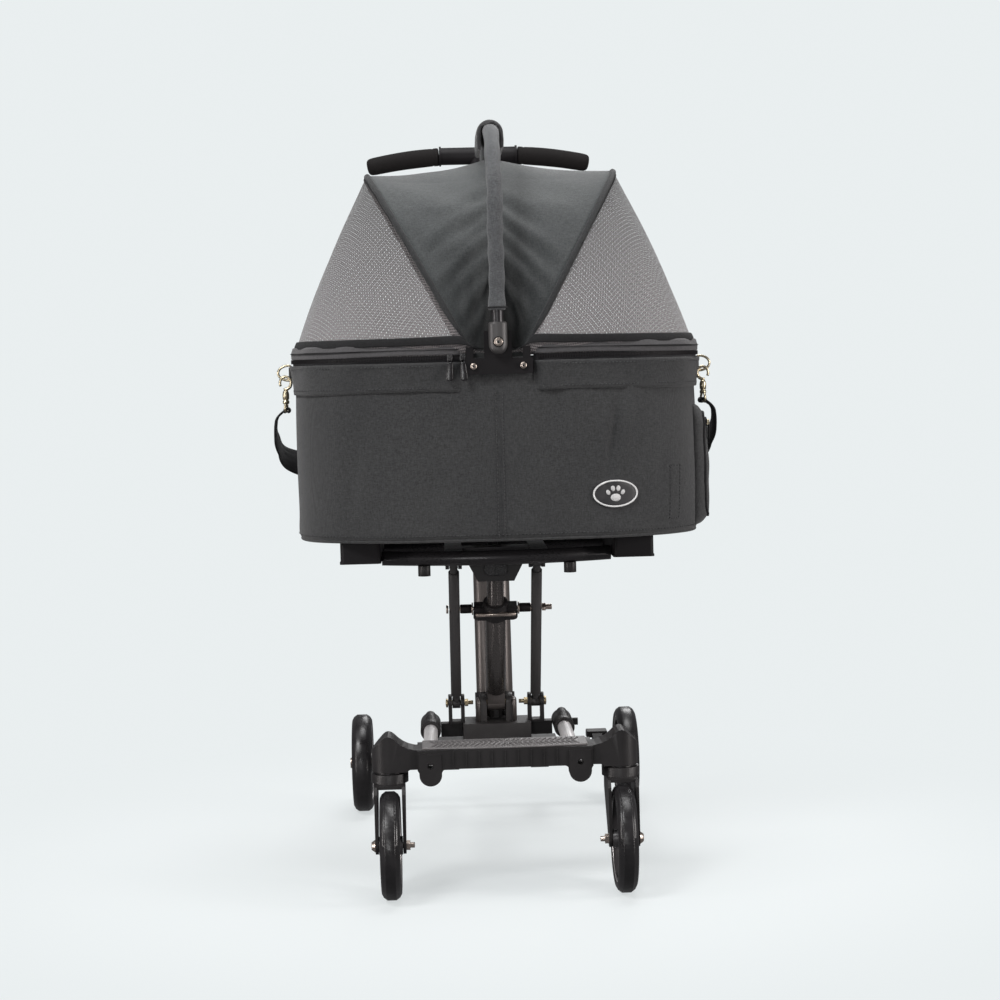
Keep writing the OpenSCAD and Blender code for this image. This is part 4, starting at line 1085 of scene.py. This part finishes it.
def make_screws():
    """Screw heads and bolt caps on the hoop brackets."""
    y_front, y_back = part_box("hoop_brackets")[0].y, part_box("hoop_brackets")[1].y
    half = (y_back - y_front) / 2
    places = [(-0.033, 0.6885, 0.0044, 0.1715, "carrier"), (0.033, 0.6885, 0.0044, 0.1715, "carrier"),
              (0.0, PIVOT_Z, 0.0058, 0.1875, "carrier")]
    for side, y_sign in (("front", -1), ("back", 1)):
        for k, (x, z, r, at, body) in enumerate(places):
            y0 = MID.y + y_sign * at
            levels = [0, 0.0008, 0.0014, 0.00165, 0.0017, 0.0007]
            radii = [r, r, r * 0.82, r * 0.5, r * 0.36, r * 0.32]
            path = [(MID.x + x, y0 + y_sign * d, z) for d in (0, 0.0008, 0.0014, 0.00175)]
            radius = (r, r, r * 0.84, r * 0.45)
            head = sweep(f"screw_{side}_{k}", path,
                         lambda i, t: [(radius[i] * math.cos(2 * math.pi * q / 28), radius[i] * math.sin(2 * math.pi * q / 28))
                                       for q in range(28)], "steel", up=lambda i: (0, 0, 1))
            place(head, body, "bolt_brass")
            socket = sweep(f"socket_{side}_{k}", [(MID.x + x, y0 + y_sign * d, z) for d in (0.0012, 0.00195)],
                           lambda i, t: [(r * 0.40 * math.cos(math.pi * q / 3), r * 0.40 * math.sin(math.pi * q / 3))
                                         for q in range(6)], "button", up=lambda i: (0, 0, 1))
            place(socket, body, "dark_metal")


# ---------------------------------------------------------------- badge, pulls, rings and hooks

BADGE_X, BADGE_Z, BADGE_W, BADGE_H = 0.1526, 0.514, 0.061, 0.037


def on_front(x, z, lift):
    """A point on the carrier's front wall, lifted off it."""
    return wall_point(front_angle(x), z, lift)


def domed_patch(name, x0, z0, half_w, half_h, low, high, material, tilt=0.0, rings=7, sides=48, soft=2.0):
    """A domed oval on the front wall, with a short side wall under its edge."""
    verts, faces = [on_front(x0, z0, high)], []
    levels = [(k / rings, low + (high - low) * math.sqrt(max(0, 1 - (k / rings) ** soft))) for k in range(1, rings + 1)]
    levels.append((1.0, low - 0.0012))
    for share, lift in levels:
        for k in range(sides):
            a = 2 * math.pi * k / sides
            u, v = half_w * share * math.cos(a), half_h * share * math.sin(a)
            x = u * math.cos(tilt) - v * math.sin(tilt)
            z = u * math.sin(tilt) + v * math.cos(tilt)
            verts.append(on_front(x0 + x, z0 + z, lift))
    faces = [(0, 1 + k, 1 + (k + 1) % sides) for k in range(sides)]
    for r in range(len(levels) - 1):
        for k in range(sides):
            a, b = 1 + r * sides, 1 + (r + 1) * sides
            q = (k + 1) % sides
            faces.append((a + k, b + k, b + q, a + q))
    faces.append(tuple(1 + (len(levels) - 1) * sides + k for k in range(sides)))
    return place(outwards(make_object(name, verts, faces, material)), "carrier", "trim_fabric")


def make_badge():
    """An oval rubber badge with a pale rim and a plain paw print."""
    domed_patch("badge_face", BADGE_X, BADGE_Z, BADGE_W / 2 - 0.001, BADGE_H / 2 - 0.001, 0.0016, 0.0024, "badge_face", soft=6)
    rim = []
    for k in range(72):
        a = 2 * math.pi * k / 72
        rim.append(on_front(BADGE_X + (BADGE_W / 2 - 0.0012) * math.cos(a), BADGE_Z + (BADGE_H / 2 - 0.0012) * math.sin(a), 0.0022))
    place(tube("badge_rim", rim, 0.0012, "badge_rim", 10, True, lambda i: (0, -1, 0)), "carrier", "trim_fabric")
    domed_patch("paw_pad", BADGE_X, BADGE_Z - 0.0052, 0.0068, 0.0052, 0.0024, 0.0036, "badge_mark")
    for k, (x, z, w, h, tilt) in enumerate(((-0.0098, 0.0018, 0.0026, 0.0036, 0.45), (-0.0036, 0.0070, 0.0027, 0.0038, 0.12),
                                            (0.0036, 0.0070, 0.0027, 0.0038, -0.12), (0.0098, 0.0018, 0.0026, 0.0036, -0.45))):
        domed_patch(f"paw_toe_{k}", BADGE_X + x, BADGE_Z + z, w, h, 0.0024, 0.0034, "badge_mark", tilt)


def make_zip_pulls():
    """Two sliders at the left end of the zip, each with a ring and a hanging leaf."""
    for k, x in enumerate((-0.064, -0.047)):
        y = front_y(x, 0.0062)
        body = block((MID.x + x, y - 0.0012, RIM_Z + 0.001), (0.0086, 0.0034, 0.0088), "button", 0.0012, name=f"zip_slider_{k}")
        place(body, "carrier", "hardware_brass")
        ring = [(MID.x + x + 0.0022 * math.cos(a), y - 0.0040 - 0.0010 * math.sin(a), RIM_Z - 0.0035 + 0.0042 * math.sin(a))
                for a in [2 * math.pi * q / 24 for q in range(24)]]
        place(tube(f"zip_ring_{k}", ring, 0.0006, "button", 8, True), "carrier", "hardware_brass")
        lean = 0.05 * (1 if k else -1)
        steps = [(0.0, 0.0022), (0.06, 0.0034), (0.2, 0.0036), (0.5, 0.0040), (0.8, 0.0046), (0.95, 0.0042), (1.0, 0.0026)]
        path = [(MID.x + x + lean * 0.028 * q, y - 0.0052 - 0.0004 * math.sin(q * 3), RIM_Z - 0.0055 - 0.0245 * q) for q, _ in steps]
        widths = [w for _, w in steps]
        leaf = sweep(f"zip_leaf_{k}", path,
                     lambda i, t: [(widths[i] * math.cos(b), 0.0009 * power(math.sin(b), 0.7)) for b in
                                   [2 * math.pi * q / 20 for q in range(20)]], "button", up=lambda i: (0, 1, 0))
        place(leaf, "carrier", "hardware_brass")


def upright(path):
    """For a strip that runs level, the direction its thickness has when its width is upright."""
    def find(i):
        t = Vector(path[min(i + 1, len(path) - 1)]) - Vector(path[max(i - 1, 0)])
        return Vector((0, 0, 1)).cross(t)
    return find


def make_rings_and_hooks():
    """A sewn tab, a D-ring and a swivel hook at each end of the carrier."""
    ring_x, ring_z = HALF_W + 0.016, 0.686
    for name, s in SIDES:
        x0 = MID.x + s * (ring_x - 0.0088)
        ring = [(x0, MID.y, ring_z - 0.0085), (x0, MID.y, ring_z), (x0, MID.y, ring_z + 0.0085)]
        for k in range(15):
            a = math.pi / 2 - math.pi * k / 14
            ring.append((x0 + s * (0.0035 + 0.0152 * math.cos(a)), MID.y, ring_z + 0.0105 * math.sin(a)))
        place(tube(f"d_ring_{name}", ring, 0.00175, "antique", 12, True, lambda i: (0, 1, 0)), "carrier", "hardware_brass",
              *(("d_rings",) if s < 0 else ()))
        wall = MID.x + s * (HALF_W + 0.0044)
        tab = [(wall, MID.y + 0.0115, ring_z)] + [(wall + s * 0.0002 * k, MID.y + 0.0115 - 0.0085 * k / 4, ring_z) for k in range(1, 5)]
        tab += [(x0 + s * 0.0030 * math.sin(a), MID.y + 0.0034 * math.cos(a), ring_z) for a in [math.pi * k / 8 for k in range(9)]]
        tab += [(wall + s * 0.0002 * (4 - k), MID.y - 0.0030 - 0.0085 * k / 4, ring_z) for k in range(5)]
        place(strip(f"ring_tab_{name}", tab, 0.0155, 0.0014, "web", up=upright(tab)), "carrier", "strap_web")
        hx = MID.x + s * ring_x
        hook = [(hx, MID.y, 0.6615)]
        for k in range(21):
            a = -math.pi / 2 - 0.15 + (1.72 * math.pi) * k / 20
            hook.append((hx - s * 0.0078 * math.cos(a + 0.0), MID.y, 0.6722 + 0.0088 * math.sin(a)))
        body = sweep(f"snap_hook_{name}", hook,
                     round_section(lambda t: 0.0024 - 0.0006 * t, 12), "antique", up=lambda i: (0, 1, 0))
        place(body, "carrier", "hardware_brass", *(("snap_hooks",) if s < 0 else ()))
        gate = [(hx - s * 0.0070, MID.y, 0.6655), (hx - s * 0.0082, MID.y, 0.6700), (hx - s * 0.0076, MID.y, 0.6760)]
        place(tube(f"hook_gate_{name}", gate, 0.0013, "steel", 10, up=lambda i: (0, 1, 0)), "carrier", "hardware_brass")
        profile = [(0.6425, 0.0030), (0.6435, 0.0046), (0.6468, 0.0047), (0.6475, 0.0036), (0.6488, 0.0036), (0.6495, 0.0046),
                   (0.6560, 0.0047), (0.6595, 0.0040), (0.6620, 0.0028)]
        barrel = sweep(f"hook_swivel_{name}", [(hx, MID.y, z) for z, _ in profile],
                       lambda i, t: [(profile[i][1] * math.cos(2 * math.pi * q / 24), profile[i][1] * math.sin(2 * math.pi * q / 24))
                                     for q in range(24)], "antique", up=lambda i: (0, 1, 0))
        place(barrel, "carrier", "hardware_brass")
        frame_loop = [(hx, MID.y + dy, z) for dy, z in ((0, 0.6445), (0.008, 0.6440), (0.0165, 0.6425), (0.0205, 0.6390),
                                                        (0.0195, 0.6335), (0.010, 0.6322), (0, 0.6320), (-0.010, 0.6322),
                                                        (-0.0195, 0.6335), (-0.0205, 0.6390), (-0.0165, 0.6425), (-0.008, 0.6440))]
        place(tube(f"hook_loop_{name}", frame_loop, 0.0018, "antique", 10, True, lambda i: (1, 0, 0)), "carrier", "hardware_brass")


STRAP_HALF = [(HALF_W + 0.016, 0.0, 0.6355), (HALF_W + 0.028, 0.0, 0.624), (HALF_W + 0.032, 0.010, 0.606),
              (HALF_W + 0.032, 0.042, 0.586),
              (HALF_W + 0.023, 0.090, 0.562), (0.255, 0.140, 0.545), (0.190, 0.166, 0.532), (0.100, 0.175, 0.524)]


def make_strap():
    """The webbing strap, hanging from hook to hook behind the carrier, with its folded ends and slider."""
    points = [(-x, y, z) for x, y, z in STRAP_HALF] + [(0.0, 0.177, 0.520)] + list(reversed(STRAP_HALF))
    path = [p + Vector((MID.x, MID.y, 0)) for p in smooth_path(points, 14)]

    def thickness_way(i):
        t = (path[min(i + 1, len(path) - 1)] - path[max(i - 1, 0)]).normalized()
        turn = math.radians(90 * min(1, max(0, (path[i].y - MID.y) / 0.150)))
        across = Vector((0, math.cos(turn), math.sin(turn)))
        across = (across - t * t.dot(across)).normalized()
        return t.cross(across)

    strap = strip("shoulder_strap_web", path, 0.038, 0.0021, "web", up=thickness_way)
    place(strap, "carrier", "strap_web", "shoulder_strap")
    for name, s in SIDES:
        hx = MID.x + s * (HALF_W + 0.016)
        loop = [(hx - s * 0.0012 + s * 0.0036 * math.cos(a), MID.y, 0.6335 + 0.0036 * math.sin(a)) for a in
                [math.radians(-60 + 300 * k / 12) for k in range(13)]]
        place(strip(f"strap_loop_{name}", loop, 0.036, 0.0018, "web", up=lambda i: Vector(loop[i]) - Vector((hx, MID.y, 0.6335))),
              "carrier", "strap_web")
    at = next(i for i, p in enumerate(path) if p.x - MID.x > 0.09)
    for k, offset in enumerate((-0.009, 0.0, 0.009)):
        c = path[at] + Vector((offset, 0.0014 if k != 1 else 0.0026, 0))
        place(block(c, (0.0034, 0.0042, 0.046), "dark_plastic", 0.0010, name=f"strap_slider_{k}"), "carrier", "strap_web")
    for k, dz in enumerate((-0.0212, 0.0212)):
        c = path[at] + Vector((0, 0.0016, dz))
        place(block(c, (0.0216, 0.0040, 0.0038), "dark_plastic", 0.0010, name=f"strap_slider_rail_{k}"), "carrier", "strap_web")


def end_x(y, grow=0.0):
    """The carrier's half width at this distance from its middle line."""
    return (HALF_W + grow) * max(0.0, 1 - abs(y / (HALF_D + grow)) ** OUTLINE_POWER) ** (1 / OUTLINE_POWER)


def make_pocket():
    """The soft pocket on the right end, with piping round its face and a zip across its top."""
    low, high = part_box("side_pocket")
    half, depth = (high.y - low.y) / 2, high.x - MID.x - HALF_W - 0.002
    columns, rows = 56, 64

    def face_point(u, v, push=0.0):
        y, z = half * u, low.z + (high.z - low.z) * v
        round_y = (1 - abs(u) ** 5) ** 0.55 if abs(u) < 1 else 0
        top = min(1.0, ((1 - v) / 0.16)) ** 0.6 if v > 0.84 else 1
        base = min(1.0, (v / 0.09)) ** 0.5 if v < 0.09 else 1
        belly = 0.86 + 0.14 * bell(v - 0.30, 0.28)
        slack = 0.05 * math.sin(v * 17 + u * 2) * bell(v - 0.45, 0.3) - 0.06 * bell(u - 0.25 * v, 0.08) * bell(v - 0.62, 0.1)
        out = depth * max(0, round_y * top * base) * (belly + slack) + push
        return Vector((MID.x + end_x(y) + out + wall_relief(0, z), MID.y + y, z))

    verts, uvs = [], []
    for i in range(columns + 1):
        for j in range(rows + 1):
            u, v = 2 * i / columns - 1, j / rows
            verts.append(face_point(u, v, -0.001))
            uvs.append((u * half, v * (high.z - low.z)))
    pocket = make_object("side_pocket_cloth", verts, ring_faces(columns + 1, rows + 1, False), "canvas", uvs)
    modify(pocket, "SOLIDIFY", thickness=0.0016, offset=0)
    place(pocket, "carrier", "canvas", "side_pocket")
    edge = []
    for k in range(160):
        a = 2 * math.pi * k / 160
        u, v = 0.86 * power(math.cos(a), 0.28), 0.5 + 0.435 * power(math.sin(a), 0.28)
        edge.append(face_point(u, v, 0.0006))
    place(tube("pocket_piping", edge, 0.0019, "binding", 8, True, lambda i: (1, 0, 0)), "carrier", "trim_fabric")
    zip_line = [face_point(-0.74 + 1.48 * k / 40, 0.855, 0.0008) for k in range(41)]
    place(strip("pocket_zip_tape", zip_line, 0.013, 0.0012, "tape", up=lambda i: (1, 0, 0.25)), "carrier", "trim_fabric")
    verts, faces = [], []
    for k in range(2, 90):
        c = face_point(-0.72 + 1.44 * k / 91, 0.855, 0.0020)
        base = len(verts)
        for dx in (-0.0006, 0.0007):
            for dy, dz in ((-0.0005, -0.0022), (0.0005, -0.0022), (0.0005, 0.0022), (-0.0005, 0.0022)):
                verts.append(c + Vector((dx, dy, dz)))
        faces += [tuple(base + q for q in f) for f in
                  ((0, 1, 2, 3), (7, 6, 5, 4), (0, 4, 5, 1), (1, 5, 6, 2), (2, 6, 7, 3), (3, 7, 4, 0))]
    place(outwards(make_object("pocket_zip_teeth", verts, faces, "dark_plastic", smooth=False)), "carrier", "trim_fabric")
    c = face_point(-0.70, 0.855, 0.003)
    place(block(c, (0.0034, 0.008, 0.0075), "antique", 0.001, name="pocket_slider"), "carrier", "hardware_brass")
    leaf = [c + Vector((0.0012, 0, -0.003 - 0.02 * k / 5)) for k in range(6)]
    place(strip("pocket_pull", leaf, 0.006, 0.0014, "binding", up=lambda i: (1, 0, 0)), "carrier", "trim_fabric")


# ---------------------------------------------------------------- cushion and grips


def make_cushion():
    """The bed cushion: a soft slab blown up by a short cloth simulation, then piped round its edge."""
    low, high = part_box("cushion")
    inset, floor_z = 0.017, low.z + 0.0006
    columns = 120
    angles = even_angles(columns)
    levels = [(0.55, floor_z), (0.93, floor_z), (1.0, floor_z + 0.004), (1.0, floor_z + 0.012), (0.985, floor_z + 0.0165),
              (0.9, floor_z + 0.0175), (0.5, floor_z + 0.0175)]
    verts = [outline(a, -inset, share) + Vector((0, 0, z)) for share, z in levels for a in angles]
    faces = ring_faces(len(levels), columns)
    verts += [Vector((MID.x, MID.y, floor_z)), Vector((MID.x, MID.y, floor_z + 0.0175))]
    last = (len(levels) - 1) * columns
    for j in range(columns):
        k = (j + 1) % columns
        faces += [(len(verts) - 2, k, j), (len(verts) - 1, last + j, last + k)]
    cushion = outwards(make_object("bed_cushion", verts, faces, "cushion"))
    modify(cushion, "REMESH", mode="VOXEL", voxel_size=0.0055)
    finish_modifiers(cushion)
    rest = [v.co.copy() for v in cushion.data.vertices]
    modify(cushion, "CLOTH")
    cloth = cushion.modifiers[0]
    cloth.settings.use_pressure = True
    cloth.settings.uniform_pressure_force = 4.0
    cloth.settings.effector_weights.gravity = 0.0
    cloth.settings.quality = 4
    cloth.point_cache.frame_start, cloth.point_cache.frame_end = 1, 20
    for step in range(1, 21):
        bpy.context.scene.frame_set(step)
    finish_modifiers(cushion)
    bpy.context.scene.frame_set(1)
    for v, was in zip(cushion.data.vertices, rest):
        move = v.co - was
        if move.length > 0.007:
            v.co = was + move * (0.007 / move.length)
        x, y = v.co.x - MID.x, v.co.y - MID.y
        share = (abs(x / (HALF_W - 0.0095)) ** OUTLINE_POWER + abs(y / (HALF_D - 0.0095)) ** OUTLINE_POWER) ** (1 / OUTLINE_POWER)
        if share > 1:
            v.co.x, v.co.y = MID.x + x / share, MID.y + y / share
        hollow = 0.0028 * bell(x, 0.11) * bell(y, 0.07)
        v.co.z = min(max(v.co.z, floor_z), high.z - 0.0006) - (hollow if v.co.z > floor_z + 0.01 else 0)
    modify(cushion, "SUBSURF", levels=1, render_levels=1)
    finish_modifiers(cushion)
    for polygon in cushion.data.polygons:
        polygon.use_smooth = True
    place(cushion, "carrier", "cushion_fabric", "cushion")
    edge = [outline(a, -0.0112) + Vector((0, 0, floor_z + 0.0095)) for a in even_angles(200)]
    place(tube("cushion_piping", edge, 0.0017, "binding", 8, True, lambda i: (0, 0, 1)), "carrier", "cushion_fabric")


def make_grips():
    """The two foam grips, each gently curved, with a collar inside and a rounded tip."""
    for name, s in SIDES:
        low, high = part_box(f"grip_{name}")
        near = low.x if s > 0 else high.x
        far = high.x if s > 0 else low.x
        y = (low.y + high.y) / 2
        top_in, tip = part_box("handle_bar")[1].z, low.z
        z_in = (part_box("handle_bar")[0].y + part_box("handle_bar")[1].y) * 0 + high.z - 0.0146
        z_out = low.z + 0.0100
        profile = [(0.0, 0.0112), (0.008, 0.0136), (0.03, 0.0141), (0.07, 0.0140), (0.085, 0.0131), (0.10, 0.0138), (0.20, 0.0141),
                   (0.35, 0.0142), (0.5, 0.0141), (0.65, 0.0139), (0.8, 0.0138), (0.9, 0.0136), (0.945, 0.0130),
                   (0.972, 0.0118), (0.988, 0.0098), (0.996, 0.0070), (1.0, 0.0030)]
        fine = []
        for (q0, r0), (q1, r1) in zip(profile, profile[1:]):
            steps = max(1, int((q1 - q0) / 0.012))
            fine += [(q0 + (q1 - q0) * k / steps, r0 + (r1 - r0) * k / steps) for k in range(steps)]
        fine.append(profile[-1])
        path = []
        for q, r in fine:
            x = near + (far - near) * q
            z = z_in + (z_out - z_in) * q + 0.0022 * math.sin(math.pi * q)
            path.append((x, y, z))
        radii = [r for _, r in fine]

        def section(i, t):
            out = []
            for k in range(40):
                a = 2 * math.pi * k / 40
                palm = 1 + 0.035 * math.sin(a) * math.sin(math.pi * t)
                out.append((radii[i] * palm * math.cos(a), radii[i] * math.sin(a)))
            return out

        grip = sweep(f"foam_grip_{name}", path, section, "foam", up=lambda i: (0, 0, 1))
        place(grip, "handle", "grip_foam", f"grip_{name}")


# ---------------------------------------------------------------- base details


def make_tread_ribs():
    """Raised chevron ridges over the step's tread, in two facing rows."""
    low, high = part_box("step_tread")
    verts, faces = [], []
    middle_y, half_y = (low.y + high.y) / 2, (high.y - low.y) / 2 - 0.005

    def ridge(x0, y0, x1, y1):
        a, b = Vector((x0, y0, high.z)), Vector((x1, y1, high.z))
        t = (b - a).normalized()
        side = Vector((-t.y, t.x, 0))
        base = len(verts)
        for share, scale in ((0, 0.3), (0.08, 0.9), (0.5, 1), (0.92, 0.9), (1, 0.3)):
            c = a.lerp(b, share)
            for e, h in ((-0.0020, -0.0004), (-0.0013, 0.0011), (0, 0.0020), (0.0013, 0.0011), (0.0020, -0.0004)):
                verts.append(c + side * e * scale + Vector((0, 0, h * scale)))
        for r in range(4):
            for k in range(5):
                p, q = base + r * 5, base + (r + 1) * 5
                faces.append((p + k, p + (k + 1) % 5, q + (k + 1) % 5, q + k))
        faces.append(tuple(base + k for k in range(5)))
        faces.append(tuple(base + 20 + k for k in range(5)))

    for k in range(-14, 15):
        x = k * 0.0070
        lean = 0.009 if x > 0 else -0.009
        reach = half_y * (1 - 0.12 * (x / 0.1) ** 2)
        ridge(x, middle_y + reach - 0.004, x - lean, middle_y + 0.0015)
        ridge(x - lean, middle_y - 0.0015, x, middle_y - reach)
    place(outwards(make_object("tread_ridges", verts, faces, "tread")), "frame", "tread")


def make_throats():
    """The canopy cloth tucked down behind each hoop bracket, between the hinges."""
    for name, y_sign in (("front", -1), ("back", 1)):
        verts = []
        for i in range(25):
            x = -0.043 + 0.086 * i / 24
            for j in range(9):
                v = j / 8
                y = HALF_D - 0.0012 - 0.0290 * v ** 1.2 * (1 - (x / 0.06) ** 2) + 0.0012 * math.sin(x * 160) * v
                verts.append((MID.x + x, MID.y + y_sign * y, RIM_Z - 0.010 + 0.034 * v))
        cloth = make_object(f"throat_{name}", verts, ring_faces(25, 9, False), "canopy")
        modify(cloth, "SOLIDIFY", thickness=0.0014, offset=0)
        place(cloth, "carrier", "canvas")


def make_foot_cheeks():
    """Metal cheeks round the ears at the post's foot, which read as one oval socket."""
    low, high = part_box("rod_clevises")
    foot_y = (low.y + high.y) / 2
    z0 = 0.1625
    for name, s in SIDES:
        levels = [(z0, 1.0), (z0 + 0.024, 1.0), (z0 + 0.0285, 0.985), (z0 + 0.0315, 0.94), (z0 + 0.0330, 0.86), (z0 + 0.0333, 0.6)]
        verts, count = [], 26
        for z, scale in levels:
            for k in range(count):
                b = -math.pi / 2 + math.pi * k / (count - 1)
                x = 0.0243 + 0.0064 * scale * power(math.cos(b), 0.55)
                verts.append((s * x, foot_y + 0.0155 * scale * math.sin(b), z))
        faces = ring_faces(len(levels), count)
        faces += [tuple(range(count)), tuple(range((len(levels) - 1) * count, len(levels) * count))]
        place(outwards(make_object(f"foot_cheek_{name}", verts, faces, "stem")), "frame", "frame_plastic")


def make_yoke_details():
    """Dark sleeves over the cross pin's spacers, and the bright bar in front of the yoke."""
    low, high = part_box("cross_pin")
    y, z = (low.y + high.y) / 2, (low.z + high.z) / 2
    for name, s in SIDES:
        path = [(s * x, y, z) for x in (0.0345, 0.0352, 0.0495, 0.0502)]
        radii = (0.0060, 0.0066, 0.0066, 0.0060)
        sleeve = sweep(f"pin_sleeve_{name}", path,
                       lambda i, t: [(radii[i] * math.cos(2 * math.pi * k / 28), radii[i] * math.sin(2 * math.pi * k / 28))
                                     for k in range(28)], "dark_plastic", up=lambda i: (0, 0, 1))
        place(sleeve, "post", "frame_plastic")
    bar = [(x, y - 0.0150, z - 0.0075) for x in (-0.0285, -0.028, 0.028, 0.0285)]
    radii_bar = (0.0026, 0.0031, 0.0031, 0.0026)
    rod = sweep("yoke_bar", bar, lambda i, t: [(radii_bar[i] * math.cos(2 * math.pi * k / 20), radii_bar[i] * math.sin(2 * math.pi * k / 20))
                                               for k in range(20)], "steel", up=lambda i: (0, 0, 1))
    place(rod, "post", "bolt_brass")


def make_wheel_rings():
    """The pale ring inside each tyre, on its outer and inner face."""
    for kind in ("front", "rear"):
        for name, s in SIDES:
            tyre_low, tyre_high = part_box(f"{kind}_tyre_{name}")
            rim_low, rim_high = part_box(f"{kind}_rim_{name}")
            centre = (tyre_low + tyre_high) / 2
            radius = (tyre_high.z - tyre_low.z) / 2 - 0.0145
            for face, way in (("outer", s), ("inner", -s)):
                x = centre.x + way * ((tyre_high.x - tyre_low.x) / 2 - 0.0024)
                ring = [(x, centre.y + radius * math.cos(2 * math.pi * k / 72), centre.z + radius * math.sin(2 * math.pi * k / 72))
                        for k in range(72)]
                place(tube(f"{kind}_wheel_ring_{face}_{name}", ring, 0.0013, "rim_edge", 8, True, lambda i: (1, 0, 0)),
                      f"{kind}_wheel_{name}", "rim_plastic")


def make_floor_panel():
    """The black vinyl panel sewn under the carrier."""
    angles = even_angles(160)
    verts = [outline(a, -0.010 - e) + Vector((0, 0, FLOOR_Z + z)) for z, e in
             ((0.0002, 0.0010), (0.0006, 0), (0.0012, 0)) for a in angles]
    faces = ring_faces(3, 160) + [tuple(range(160)), tuple(range(320, 480))]
    place(outwards(make_object("floor_panel", verts, faces, "tape")), "carrier", "trim_fabric")


NODE_LOOKS = {
    "step_bumper": ("plastic", 1.6), "step_tread": ("tread", 0.9), "side_tubes": ("alu", 0.5), "tube_collars": ("plastic", 0.9),
    "crossbar": ("plastic", 0.9), "centre_block": ("block", 1.4), "rod_clevises": ("plastic", 0.9),
    "frame_bolts": ("brass", 0.5), "rear_beam": ("plastic", 1.2), "rear_legs": ("black_metal", 0.8), "rear_axle": ("steel", 0.5),
    "brake_pedal": ("plastic", 1.2), "caster_fork_left": ("plastic", 1.2), "caster_fork_right": ("plastic", 1.2),
    "caster_axle_left": ("steel", 0.4), "caster_axle_right": ("steel", 0.4), "front_tyre_left": ("tyre", 1.2),
    "front_tyre_right": ("tyre", 1.2), "rear_tyre_left": ("tyre", 1.2), "rear_tyre_right": ("tyre", 1.2),
    "front_rim_left": ("rim", 0.6), "front_rim_right": ("rim", 0.6), "rear_rim_left": ("rim", 0.6), "rear_rim_right": ("rim", 0.6),
    "main_post": ("post_metal", 0.5), "post_foot": ("stem", 1.0), "tie_rods": ("rod", 0.4), "yoke_collar": ("plastic", 0.9),
    "cross_pin": ("steel", 0.4), "levelling_link": ("rod", 0.5), "platform_frame": ("black_tube_x", 0.6),
    "platform_pads": ("dark_plastic", 1.6), "latch_block": ("plastic", 1.4), "strap_posts": ("plastic", 0.9),
    "release_button": ("button", 0.6), "stem_sleeve": ("plastic", 1.2), "stem_tube": ("stem", 0.6), "clamp_collar": ("plastic", 1.2),
    "inner_tube": ("stem", 0.5), "handle_bar": ("dark_plastic", 0.9), "height_button": ("button", 0.5), "hoop_brackets": ("dark_plastic", 1.0),
}


def dress_nodes():
    """Gives every CAD node that shows its material and rounded edges."""
    for name, (material, bevel) in NODE_LOOKS.items():
        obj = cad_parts[name]
        for slot in obj.material_slots:
            slot.material = M[material]
        if not obj.material_slots:
            obj.data.materials.append(M[material])
        modify(obj, "WELD", merge_threshold=0.00002)
        modify(obj, "BEVEL", width=bevel * MM, segments=2, limit_method="ANGLE", angle_limit=math.radians(38),
               use_clamp_overlap=True, harden_normals=True)


make_camera()
make_studio()
dress_nodes()
make_body()
make_floor_panel()
make_seams()
make_rim()
make_lids()
make_gussets()
make_bail()
make_screws()
make_badge()
make_zip_pulls()
make_rings_and_hooks()
make_strap()
make_pocket()
make_cushion()
make_grips()
make_tread_ribs()
make_throats()
make_yoke_details()
make_foot_cheeks()
make_wheel_rings()
